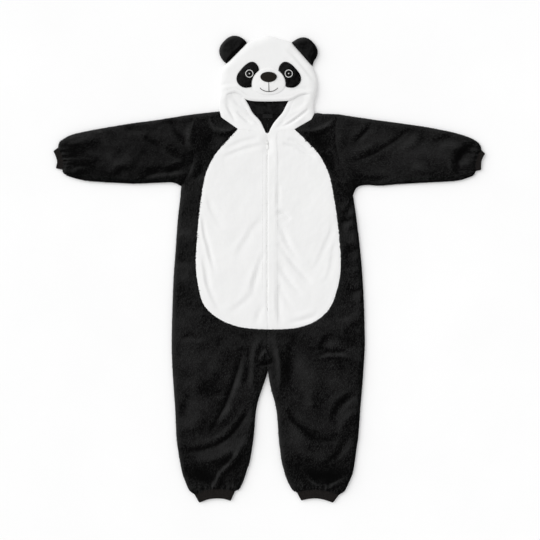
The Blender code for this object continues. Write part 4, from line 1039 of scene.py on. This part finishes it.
def make_belly(side):
    """A white half of the belly, with its half of the slot for the zip."""
    edge = beside(smooth(BELLY_EDGE[side]), sided(side, -SEAM_GAP / 2))
    corner = np.argmax(lengths(edge) > FLANK_SHARE * lengths(edge)[-1])
    flank, foot = edge[: corner + 1], edge[corner:].copy()
    seam = CENTRE_X + sided(side, SEAM_GAP / 2)
    foot[-1] = (seam, foot[-1][1])
    turns = [SLOPE_END[side]] + [(ZIP_X + sided(side, half), y) for y, half in SLOT_TURNS]
    turns += [(seam, SLOT_SHUT), tuple(foot[-1])]
    inner = chain(*(straight(a, b) for a, b in zip(turns, turns[1:])))
    points = panel_net(
        flank, inner, rows=count_of(inner), columns=40, near_left=SEAM_EDGE, near_right=SEAM_EDGE,
        near_top=SEAM_EDGE, corners=turns[1:-1], bottom=foot,
    )
    cloth = rising(points, front_top, FRONT_ROUND)
    piece = shell(f"belly_{side}_plush", cloth, WALL, WHITE_FLEECE)
    keep(piece, "white_fleece", f"belly_{side}")
    for name, strip in (("flank", cloth[:, :4]), ("foot", cloth[-2:])):
        name = f"belly_{side}_{name}_pile"
        keep(tufts(name, strip, WHITE_PILE, WHITE_FLEECE, seed=22, middle=BELLY_MIDDLE), "white_fleece")


# ------------------------ sleeves and cuffs
def make_sleeve(side):
    """A one-piece sleeve: front rows from its fold to its under seam, then the back rows."""
    arm = beside(smooth(ARMHOLE[side]), sided(side, SEAM_GAP / 2))
    tops, unders = smooth(SLEEVE_TOP[side]), smooth(SLEEVE_UNDER[side])
    tops[0], unders[0] = arm[0], arm[-1]
    points = panel_net(
        tops, unders, rows=count_of(tops), columns=34, near_left=EDGE, near_right=EDGE,
        top=arm, bottom=smooth(WRIST_SEAM[side]),
    )
    over = rising(points, front_top, FRONT_ROUND)
    outer = np.concatenate([over, lying(points)[:, -2:0:-1]], axis=1)
    away = normals(outer, True, ring=True)
    if away[:, : over.shape[1], 2].sum() < 0:
        away = -away
    piece = tube(f"sleeve_{side}_plush", outer, outer - away * WALL, BLACK_FLEECE)
    keep(piece, "black_fleece", f"sleeve_{side}")
    outwards = (sided(side, 1), 0)
    pile = tufts(f"sleeve_{side}_pile", over, BLACK_PILE, BLACK_FLEECE, seed=23, lean=outwards)
    keep(pile, "black_fleece")


CUFF_HEIGHT, RIB_RISE, RIB_POINTS, CUFF_ROWS = 8.2, 0.7, 8, 14
CUFF_START = -0.12  # share of its depth: a little inside the gathered cloth
CUFF_ROLL, ROLL_START = 0.9, 0.88  # its free edge is rounded by this much from this share on
CUFF_TUCK, TUCK_END = 0.6, 0.1  # and its start is drawn in


def make_cuff(name, seam, edge, ribs):
    """A flat rib tube from the gathered cloth to its free edge, which is folded and rounded."""
    seam, edge = smooth(seam), smooth(edge)
    count = 2 * ribs * RIB_POINTS
    turn = 2 * pi * (np.arange(count) + 0.5) / count
    out, up = np.cos(turn), np.sin(turn)
    bulk = (abs(out) ** 4 + abs(up) ** 4) ** -0.25
    rib = RIB_RISE * (0.5 - 0.5 * np.cos(2 * pi * np.arange(count) / RIB_POINTS)) ** 0.8
    share, half = lengths(seam) / lengths(seam)[-1], CUFF_HEIGHT / 2
    outer, inner = [], []
    for v in np.linspace(CUFF_START, 1, CUFF_ROWS):
        line = seam + (along(edge, share) - seam) * v
        wide = lengths(line)[-1] / 2
        rolled = CUFF_ROLL * max(0.0, (v - ROLL_START) / (1 - ROLL_START)) ** 2
        rolled += CUFF_TUCK * max(0.0, TUCK_END - v)
        for rings, inset in ((outer, rib + rolled), (inner, RIB_WALL + RIB_RISE - 0.5 * rolled)):
            flat_place = along(line, 0.5 + (wide - inset) * out * bulk / (2 * wide))
            rings.append(np.column_stack([flat_place, half + (half - inset) * up * bulk]))
    piece = tube(f"{name}_rib", np.array(outer), np.array(inner), RIB)
    keep(piece, "black_rib", name)


# ------------------------ hood
def hood_line(side, foot, top=None):
    """The hood's outline on one side, down to the foot from the top, or from the ear if none is given."""
    line = smooth(HOOD_SIDE[side])
    top = HOOD_SIDE[side][0][1] if top is None else top
    first, last = (np.interp(y, line[::-1, 1], line[::-1, 0]) for y in (top, foot))
    inside = line[(line[:, 1] < top) & (line[:, 1] > foot)]
    return np.vstack([[(first, top)], inside, [(last, foot)]])


def dome():
    """The hood's upper outline: an ear's straight foot, the round top, the other ear's foot."""
    return chain(straight(*EAR_BASE["left"]), smooth(HOOD_TOP), straight(*EAR_BASE["right"]))


def make_hood_back():
    """The white back of the hood, up to its upper outline."""
    left, right = (hood_line(side, BACK_NECK_Y + SEAM_GAP) for side in SIDES)
    points = panel_net(
        left, right, rows=30, columns=30, near_left=BACK_EDGE, near_right=BACK_EDGE, near_top=BACK_EDGE,
        top=dome(),
    )
    piece = shell("hood_back_plush", lying(points), WALL, WHITE_FLEECE, upward=False)
    keep(piece, "white_fleece", "hood_back")


def make_hood_face():
    """The hood's upper front, which carries the face and ends at the rim."""
    near = close_steps(HOOD_ROUND)
    points = panel_net(
        hood_line("left", RIM[0][1]), hood_line("right", RIM[-1][1]), rows=46, columns=76,
        near_left=near, near_right=near, near_top=near[:4], top=dome(), bottom=rim_line(),
    )
    piece = shell("hood_face_plush", rising(points, face_top, HOOD_ROUND), HOOD_WALL, WHITE_FLEECE)
    keep(piece, "white_fleece", "hood_face")


OPENING_RUN_ON = 1.125  # how far its edge runs on under the rim, in lengths of its first four steps
UNDER_ROWS = 14  # closer rows than usual, by this many


def make_flap(side):
    """A lower side of the hood, from under its rim to the neck seam and the neck opening."""
    rim, rim_end = rim_line(), RIM[0 if side == "left" else -1]
    outer = hood_line(side, NECK_SIDE[side][1], top=rim_end[1] - TIGHT_GAP)
    opening = smooth(NECK_OPENING[side])
    start = opening[0] + (opening[0] - opening[4]) * OPENING_RUN_ON
    rim = rim[rim[:, 0] < start[0]] if side == "left" else rim[rim[:, 0] > start[0]][::-1]
    rim = rim[3:-3]  # without the points beside its ends
    rim[:, 1] += tuck(rim[:, 0])
    neck = chain(neck_line(side), straight(BELLY_CORNER[side], SLOPE_END[side])) + (0, TIGHT_GAP)
    inner = np.vstack([[start], opening])
    neck[0], neck[-1] = outer[-1], inner[-1]
    points = panel_net(
        outer, inner, rows=count_of(inner) + UNDER_ROWS, columns=30, near_left=EDGE,
        near_right=close_steps(4.0, 4), top=np.vstack([outer[:1], rim, [start]]), bottom=neck,
    )
    piece = shell(f"hood_flap_{side}_plush", rising(points, flap_top, HOOD_ROUND), WALL, WHITE_FLEECE)
    keep(piece, "white_fleece", f"hood_flap_{side}")


LINING_TOP, LINING_TOP_HALF, LINING_FOOT_HALF = 500.0, 96.0, 80.0
LINING_LAP = 0.8  # how far it laps over the body's neck seam
LINING_ROWS, LINING_COLUMNS = 34, 120
BINDING_X, BINDING_RISE = CENTRE_X + 3, 0.5  # tape over the centre seam
BINDING_HALF, BINDING_EDGE = 5.0, 1.2  # half its width, and how far in it rises


def make_lining():
    """The lining inside the hood's back, slightly wavy, with the tape that binds its centre seam."""
    v = np.linspace(0, 1, LINING_ROWS)[:, None]
    half = LINING_TOP_HALF + (LINING_FOOT_HALF - LINING_TOP_HALF) * v
    x = CENTRE_X + half * np.linspace(-1, 1, LINING_COLUMNS)[None]
    y = np.broadcast_to(LINING_TOP + (BACK_NECK_Y - LINING_LAP - LINING_TOP) * v, x.shape)
    binding = ramp(abs(x - BINDING_X), BINDING_HALF, BINDING_HALF - BINDING_EDGE)
    z = WALL + SEAM_GAP + LINING_WALL + LINING_WAVES * waves(x, y) + BINDING_RISE * eased(binding)
    piece = shell("hood_lining_cloth", np.dstack([x, y, z]), LINING_WALL, LINING)
    keep(piece, "black_lining", "hood_lining")


# ------------------------ ears
EAR_HEIGHT, EAR_ROUND, EAR_UNEVEN = 12.5, 20.0, 0.5
EAR_POINTS, EAR_FOOT_POINTS = 61, 24
EAR_POWER = 2.5  # how square its outline is: 2 is an ellipse
EAR_HALF, EAR_REACH = {"left": 42.5, "right": 40.0}, {"left": 49.5, "right": 45.5}
EAR_SHIFT = {"left": 0.0, "right": -3.0}  # along its foot, towards the hood's side
EAR_FOOT = 12.0  # over this height it widens from its foot to its full width
EAR_HEART = 0.45  # share of its reach: the point that its rings close in on
EAR_RINGS = np.linspace(0.48, 0.97, 9)  # shares of the way there, inside its rounded edge


def ear_outline(side, base_half):
    """The outline of an ear, along its foot and away from it."""
    t = np.linspace(0, pi, EAR_POINTS)
    u = EAR_HALF[side] * abs(np.cos(t)) ** (2 / EAR_POWER) * np.sign(np.cos(t))
    v = EAR_REACH[side] * np.sin(t) ** (2 / EAR_POWER)
    u *= 1 - (1 - base_half / EAR_HALF[side]) * closeness(v, EAR_FOOT)
    u += EAR_SHIFT[side] * ramp(v, 0, EAR_FOOT)
    foot = np.linspace(-1, 1, EAR_FOOT_POINTS + 2)[1:-1] * base_half
    return np.concatenate([u, foot])[:, None], np.concatenate([v, np.zeros_like(foot)])[:, None]


def make_ear(side):
    """A lightly padded D that is round at its outline and sewn into the hood along its straight foot."""
    a, b = (np.array(p, float) for p in EAR_BASE[side])
    base_half = np.linalg.norm(b - a) / 2
    run = (b - a) / (2 * base_half)
    out = np.array([-run[1], run[0]])
    middle = (a + b) / 2 + out * SEAM_GAP
    u, v = ear_outline(side, base_half)
    ring = middle + run * u + out * v
    inward = middle + out * EAR_REACH[side] * EAR_HEART - ring
    over, under = [], []
    for share in np.concatenate([close_steps(1.0, 8) * EAR_ROUND / EAR_REACH[side], EAR_RINGS]):
        flat = ring + inward * share
        x, y = flat.T
        full = rounded(share * EAR_REACH[side], EAR_ROUND)
        top = EAR_HEIGHT + nap(x, y) + EAR_UNEVEN * noise(x, y, 26, 11)
        over.append(np.column_stack([x, y, SEAM_HEIGHT + (top - SEAM_HEIGHT) * full]))
        under.append(np.column_stack([x, y, np.full_like(x, SEAM_HEIGHT * (1 - full))]))
    piece = stack(f"ear_{side}_plush", over[::-1] + under[1:], BLACK_FLEECE)
    keep(piece, "black_fleece", f"ear_{side}")


# ------------------------ face
MUZZLE_CENTRE, MUZZLE_HALF, MUZZLE_UP, MUZZLE_DOWN = (-2.0, 514.7), 47.4, 46.6, 30.0
EYE_PATCH = [  # outline of the left one, clockwise; the last two points are under the muzzle
    (-50, 508), (-59, 505.6), (-68, 505.2), (-77, 508), (-85, 514), (-90.5, 523), (-91.5, 533),
    (-88, 544), (-80, 555), (-70, 566), (-60, 574), (-50, 577.5), (-41, 576), (-33, 568), (-29, 557),
    (-30, 543), (-38, 522),
]
FACE_MIDDLE = -1.7  # the two eye patches mirror about this line
NOSE_CENTRE, NOSE_HALF, NOSE_HALF_HEIGHT = (-2.0, 534.4), 23.0, 14.5
NOSE_TAPER = 0.004  # how much wider the nose is towards its top, a millimetre
EYE = {"left": (-55.6, 544.2), "right": (54.0, 544.2)}
EYE_RING, EYE_STROKE, EYE_RELIEF, EYE_STEPS = 10.1, 0.9, 0.12, 180  # the ring, its thread and its stitches
ON_PATCH = PATCH_GAP + PATCH_WALL  # height of an eye patch over the hood's face
MUZZLE_CROWN, NOSE_CROWN, PATCH_CROWN = 3.2, 2.4, 0.4
EYE_LIFT, NOSE_LIFT = ON_PATCH + 0.7, ON_PATCH + PATCH_GAP + 1.2


def on_face(flat, lift):
    """Points at a lift over the hood's face, from their places on it."""
    places = rising(flat[None], face_top, HOOD_ROUND)[0]
    places[:, 2] += lift
    return places


def ellipse(centre, half, half_height, count=96):
    """Points round an ellipse, from its right end."""
    t = np.linspace(0, 2 * pi, count, endpoint=False)
    return np.column_stack([centre[0] + half * np.cos(t), centre[1] + half_height * np.sin(t)])


def closed_curve(points, steps=12, count=140):
    """Points on a smooth closed line through these, without the repeated last one."""
    line = smooth(points[-2:] + points + points[:2], steps)[2 * steps : -steps]
    return along(line, np.arange(count) / count)


def muzzle_scale(offset):
    """Half the muzzle's width and height on the sides that the offsets from its centre point to."""
    return np.column_stack([
        np.full(len(offset), MUZZLE_HALF), np.where(offset[:, 1] > 0, MUZZLE_UP, MUZZLE_DOWN)
    ])


def outside_muzzle(ring):
    """The ring with its points inside the muzzle moved out to just beside it."""
    offset = ring - MUZZLE_CENTRE
    reach = np.linalg.norm(offset / (muzzle_scale(offset) + SEAM_GAP), axis=1)
    return np.array(MUZZLE_CENTRE) + offset / np.minimum(reach, 1)[:, None]


EDGE_ROWS = 4  # rings in a patch's rounded edge
PATCH_HEART = 0.06  # share of the outline that a patch's last ring has
PATCH_EDGE = 0.2  # share of the wall at the edge
THREAD_FLAT = 0.6  # a thread's height against its width


def patch(name, ring, lift, wall, crown, material, rings=12, pile=0.6, roll=0.12):
    """An applique over the hood's face: a rounded edge, a slightly crowned middle and a plain underside."""
    centre = ring.mean(axis=0)
    inside = np.linspace(1 - PATCH_HEART - roll, PATCH_HEART, rings)
    shares = np.concatenate([1 - close_steps(roll, EDGE_ROWS), inside])
    over = []
    for k, share in enumerate(shares):
        flat = centre + (ring - centre) * share
        rise = wall * (PATCH_EDGE + (1 - PATCH_EDGE) * rounded(k, EDGE_ROWS)) + crown * (1 - share**2)
        over.append(on_face(flat, lift + rise + pile * nap(*flat.T) * min(k / EDGE_ROWS, 1)))
    under = [on_face(centre + (ring - centre) * share, lift) for share in (1.0, 0.5, PATCH_HEART)]
    return stack(name, over[::-1] + under, material)


def thread(name, path, radius, material, sides=6):
    """Embroidery thread along a path of points, a little flat; radius is a number or one for each point."""
    looped = np.allclose(path[0], path[-1])
    run = np.gradient(path, axis=0)
    if looped:
        run[0] = run[-1] = path[1] - path[-2]
    run /= np.linalg.norm(run, axis=1)[:, None]
    out = np.cross(run, (0, 0, 1))
    out /= np.linalg.norm(out, axis=1)[:, None]
    up = THREAD_FLAT * np.cross(out, run)
    radius = np.broadcast_to(radius, len(path))[:, None]
    turns = 2 * pi * np.arange(sides) / sides
    rings = np.stack([path + radius * (np.cos(a) * out + np.sin(a) * up) for a in turns], axis=1)
    if looped:
        rings = rings[:-1]
    return mesh_piece(name, rings.reshape(-1, 3), ring_faces(len(rings), sides, looped=looped), material)


def make_face():
    """The muzzle, the eye patches with their eyes, the nose and the mouth."""
    circle = ellipse((0, 0), 1, 1)
    muzzle = patch(
        "muzzle_plush", np.array(MUZZLE_CENTRE) + circle * muzzle_scale(circle), lift=0.0, wall=MUZZLE_WALL,
        crown=MUZZLE_CROWN, material=WHITE_FLEECE, rings=16, roll=0.3,
    )
    keep(muzzle, "white_fleece", "muzzle")
    for side in SIDES:
        ring = closed_curve(EYE_PATCH)
        if side == "right":
            ring[:, 0] = 2 * FACE_MIDDLE - ring[:, 0]
        name = f"eye_patch_{side}"
        ring = outside_muzzle(ring)
        piece = patch(f"{name}_plush", ring, PATCH_GAP, PATCH_WALL, PATCH_CROWN, BLACK_FLEECE)
        keep(piece, "black_fleece", name)
        make_eye(side)
    ring = ellipse(NOSE_CENTRE, NOSE_HALF, NOSE_HALF_HEIGHT, count=90)
    ring[:, 0] += (ring[:, 0] - NOSE_CENTRE[0]) * (ring[:, 1] - NOSE_CENTRE[1]) * NOSE_TAPER
    nose = patch("nose_felt_piece", ring, NOSE_LIFT, PATCH_WALL, NOSE_CROWN, NOSE_FELT, pile=0.2)
    keep(nose, "nose_felt", "nose")
    make_mouth()


def make_eye(side):
    """An embroidered ring of short stitches, and its white spot."""
    rim = on_face(ellipse(EYE[side], EYE_RING, EYE_RING, count=EYE_STEPS), EYE_LIFT)
    rim = np.vstack([rim, rim[:1]])
    stroke = EYE_STROKE * (1 + EYE_RELIEF * np.cos(np.arange(len(rim)) * pi))
    keep(thread(f"eye_ring_{side}", rim, stroke, WHITE_THREAD, sides=8), "white_fleece")
    make_dot(side)


DOT_STITCHES, DOT_CROWN = 10, 0.25
DOT_ENDS = ((0.1, 0.35, 0.9), (1.7, 0.5, 0.0))  # of a stitch: from the middle, half-width and rise
DOT_FOOT = (1.02, 0.4, -0.7)  # and of its underside
DOT_FACES = ((0, 1, 4, 3), (1, 2, 5, 4), (0, 3, 6), (2, 7, 5), (3, 4, 5, 7, 6), (0, 6, 7, 2, 1))


def make_dot(side):
    """The white spot in an eye: short satin stitches that meet in its middle."""
    x0, y0, z0 = on_face(np.array([EYE[side]]), EYE_LIFT)[0]
    points, faces = [], []
    for k in range(DOT_STITCHES):
        t = 2 * pi * k / DOT_STITCHES
        run, out = np.array([cos(t), sin(t), 0]), np.array([-sin(t), cos(t), 0])
        faces += [tuple(len(points) + corner for corner in face) for face in DOT_FACES]
        for reach, half, rise in DOT_ENDS:
            for beside_it, crown in ((-1, 0), (0, DOT_CROWN), (1, 0)):
                points.append((x0, y0, z0 + rise + crown) + run * reach + out * beside_it * half)
        reach, half, rise = DOT_FOOT
        points += [(x0, y0, z0 + rise) + run * reach + out * s * half for s in (-1, 1)]
    keep(mesh_piece(f"eye_dot_{side}", points, faces, WHITE_THREAD), "white_fleece")


MOUTH_RADIUS, MOUTH_STEPS = 1.05, 60
MOUTH_LIFT, MOUTH_FALL = ON_PATCH + 2.0, 2.0  # it follows the crowned muzzle down to its edge
SMILE_ENDS, SMILE_POWER = (0.12, 0.88), 0.3  # the part of a half wave that its thickness follows
MOUTH_LINE = [(-1.5, 520), (-1.2, 507), (-1.0, 494)]
SMILE = [(-26, 504.5), (-21, 499.5), (-12, 495.4), (-1, 494), (10, 495.4), (18.5, 499.5), (24, 504.5)]


def make_mouth():
    """The line below the nose and the smile, which is thinner towards its ends."""
    ends = np.sin(np.linspace(*SMILE_ENDS, MOUTH_STEPS) * pi) ** SMILE_POWER
    for name, points, taper in (("mouth_line", MOUTH_LINE, 1.0), ("smile", SMILE, ends)):
        flat = along(smooth(points), np.linspace(0, 1, MOUTH_STEPS))
        away = np.linalg.norm((flat - MUZZLE_CENTRE) / (MUZZLE_HALF, MUZZLE_DOWN), axis=1)
        path = on_face(flat, MOUTH_LIFT - MOUTH_FALL * np.clip(away, 0, 1) ** 2)
        keep(thread(name, path, MOUTH_RADIUS * taper, DARK_THREAD), "nose_felt")


LABEL_X, LABEL_Y = (-19.0, 9.0), (422.0, 433.5)
LABEL_WAVE, LABEL_RUN = 0.3, 9.0
LABEL_COLUMNS, LABEL_ROWS = 40, 18


def make_label():
    """A plain woven label inside the neck, slightly wavy."""
    x, y = np.meshgrid(np.linspace(*LABEL_X, LABEL_COLUMNS), np.linspace(*LABEL_Y, LABEL_ROWS))
    z = WALL + SEAM_GAP + LABEL_WALL + LABEL_WAVE * np.sin((x - LABEL_X[0]) / LABEL_RUN)
    piece = shell("neck_label_woven", np.dstack([x, y, z]), LABEL_WALL, LABEL)
    keep(piece, "plain_label", "neck_label")


# ------------------------ zip and stitches
TAPE_INSIDE, TAPE_TOP = 60.0, 8.6  # it takes the front's height this far inside the outline, up to this
TAPE_COLUMNS, TAPE_ROWS = 9, 120
TOOTH_PITCH, TOOTH_REACH, TOOTH_HALF, TOOTH_HALF_HEIGHT = 2.0, 0.77, 0.66, 0.9
TOOTH_SINK, TOOTH_SIDES = 0.75, 6
FIRST_TOOTH, TOOTH_CLOTH = ZIP_END + 6, ZIP_X + ZIP_CLOSED + 0.4  # the cloth that gives the teeth's height


def make_tape(side):
    """A zip tape under one edge of the belly."""
    near, far = (ZIP_X + sided(side, reach) for reach in (SEAM_GAP, ZIP_TAPE))
    down = np.linspace(SLOPE_END[side][1] - 4, ZIP_END + 1, TAPE_ROWS)
    x, y = np.meshgrid(np.linspace(near, far, TAPE_COLUMNS), down)
    z = front_top(x, y, np.full_like(x, TAPE_INSIDE)) - WALL - 2 * SEAM_GAP
    tape = np.dstack([x, y, np.minimum(z, TAPE_TOP)])
    piece = shell(f"zip_tape_{side}_woven", tape, TAPE_WALL, TAPE)
    keep(piece, "zip_tape", f"zip_tape_{side}")


def make_teeth(side):
    """One side's teeth of the closed zip, which alternate with the other side's, as one joined piece."""
    start = FIRST_TOOTH + (TOOTH_PITCH / 2 if side == "right" else 0)
    ys = np.arange(start, ZIP_TOP - 1, TOOTH_PITCH)
    places = np.column_stack([np.full_like(ys, TOOTH_CLOTH), ys])
    heights = rising(places[None], front_top, FRONT_ROUND)[0, :, 2] - TOOTH_SINK
    reach = sided(side, TOOTH_REACH)
    turns = 2 * pi * np.arange(TOOTH_SIDES) / TOOTH_SIDES
    points, faces = [], []
    for y, z in zip(ys, heights):
        faces += ring_faces(2, TOOTH_SIDES, len(points))
        for x in (ZIP_X - reach, ZIP_X + reach):
            points += [(x, y + TOOTH_HALF * cos(a), z + TOOTH_HALF_HEIGHT * sin(a)) for a in turns]
    keep(mesh_piece(f"zip_teeth_{side}", points, faces, TRIM), "zip_plastic")


STITCH_PITCH, STITCH_LENGTH, STITCH_RADIUS, STITCH_SIDES = 4.2, 3.0, 0.38, 5
STITCH_RINGS = (  # share of its length, thickness and lift
    (0.0, 0.3, -0.3), (0.25, 1.0, 0.25), (0.75, 1.0, 0.25), (1.0, 0.3, -0.3),
)
HEM_PART = slice(6, -12)  # points of the opening's edge that its stitches run along


def stitches(name, lines, top_of, reach):
    """A row of short white stitches on each line, pulled a little into the cloth at their ends."""
    points, faces = [], []
    rings, turns = len(STITCH_RINGS), 2 * pi * np.arange(STITCH_SIDES) / STITCH_SIDES
    for line in lines:
        starts = np.arange(1.0, lengths(line)[-1] - STITCH_LENGTH, STITCH_PITCH)
        places = np.concatenate([starts + share * STITCH_LENGTH for share, _, _ in STITCH_RINGS])
        cloth = rising(along(line, places / lengths(line)[-1])[None], top_of, reach)
        for stitch in cloth.reshape(rings, -1, 3).transpose(1, 0, 2):
            run = stitch[-1, :2] - stitch[0, :2]
            out = np.array([-run[1], run[0]]) / np.linalg.norm(run)
            faces += ring_faces(rings, STITCH_SIDES, len(points))
            for (x, y, z), (_, fat, lift) in zip(stitch, STITCH_RINGS):
                for a in turns:
                    around = out * STITCH_RADIUS * fat * cos(a)
                    points.append((x + around[0], y + around[1], z + lift + STITCH_RADIUS * fat * sin(a)))
    keep(mesh_piece(name, points, faces, WHITE_THREAD), "white_fleece")


def make_stitches():
    """The stitching of the rim's hem, the neck opening's hems and the placket."""
    rim = smooth([(x, y + HEM) for x, y in RIM[2:-2]])
    stitches("rim_stitches", [rim], face_top, HOOD_ROUND)
    hems = [beside(smooth(NECK_OPENING[side]), sided(side, HEM))[HEM_PART] for side in SIDES]
    stitches("opening_stitches", hems, flap_top, HOOD_ROUND)
    stitches("placket_stitches", [straight(*line) for line in PLACKET_LINES], front_top, FRONT_ROUND)


# ------------------------ camera, light and floor
VIEW_CENTRE = (1.9, -2.6)  # the photograph's centre
VIEW_WIDTH, VIEW_DISTANCE, SENSOR = 1512.0, 3000.0, 36.0
CLIP_END = 50.0  # metres
FLOOR_HALF, SKY_STRENGTH = 6000.0, 0.78
SUN_FROM, SUN_STRENGTH, SUN_ANGLE = (-2.2, 1.1, 1.5), 1.65, 0.9


def make_camera():
    """A camera straight above the garment."""
    data = bpy.data.cameras.new("camera")
    data.sensor_width = SENSOR
    data.lens = SENSOR * VIEW_DISTANCE / VIEW_WIDTH
    data.clip_end = CLIP_END
    camera = bpy.data.objects.new("camera", data)
    camera.location = (VIEW_CENTRE[0] * MM, VIEW_CENTRE[1] * MM, VIEW_DISTANCE * MM)
    bpy.context.scene.collection.objects.link(camera)
    bpy.context.scene.camera = camera


def make_sun():
    """A large soft light a long way off, shining from its direction."""
    data = bpy.data.lights.new("key", "SUN")
    data.energy, data.angle = SUN_STRENGTH, SUN_ANGLE
    light = bpy.data.objects.new("key", data)
    x, y, z = SUN_FROM
    light.location = SUN_FROM
    light.rotation_euler = (atan2(hypot(x, y), z), 0, atan2(x, -y))
    bpy.context.scene.collection.objects.link(light)


def make_studio():
    """A plain floor and an even sky."""
    corners = [(x * FLOOR_HALF, y * FLOOR_HALF, 0) for x, y in ((-1, -1), (1, -1), (1, 1), (-1, 1))]
    mesh_piece("floor", corners, [(0, 1, 2, 3)], FLOOR)
    world = bpy.data.worlds.new("studio")
    world.use_nodes = True
    sky = world.node_tree.nodes["Background"]
    sky.inputs["Color"].default_value = (1, 1, 1, 1)
    sky.inputs["Strength"].default_value = SKY_STRENGTH
    bpy.context.scene.world = world
    bpy.context.scene.view_settings.view_transform = "Standard"


def main():
    make_camera()
    make_studio()
    make_sun()
    for side in SIDES:
        make_back(side)
        make_front(side)
        make_belly(side)
        make_sleeve(side)
        make_flap(side)
        make_ear(side)
        make_tape(side)
        wrist, ankle = f"wrist_cuff_{side}", f"ankle_cuff_{side}"
        make_cuff(wrist, WRIST_SEAM[side], WRIST_EDGE[side], ribs=26)
        make_cuff(ankle, ANKLE_SEAM[side], ANKLE_EDGE[side], ribs=44)
    make_hood_back()
    make_lining()
    make_hood_face()
    make_face()
    make_label()
    for side in SIDES:
        make_teeth(side)
    make_stitches()
    for name in ("zip_slider", "zip_pull"):
        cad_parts[name].data.materials[0] = TRIM


main()
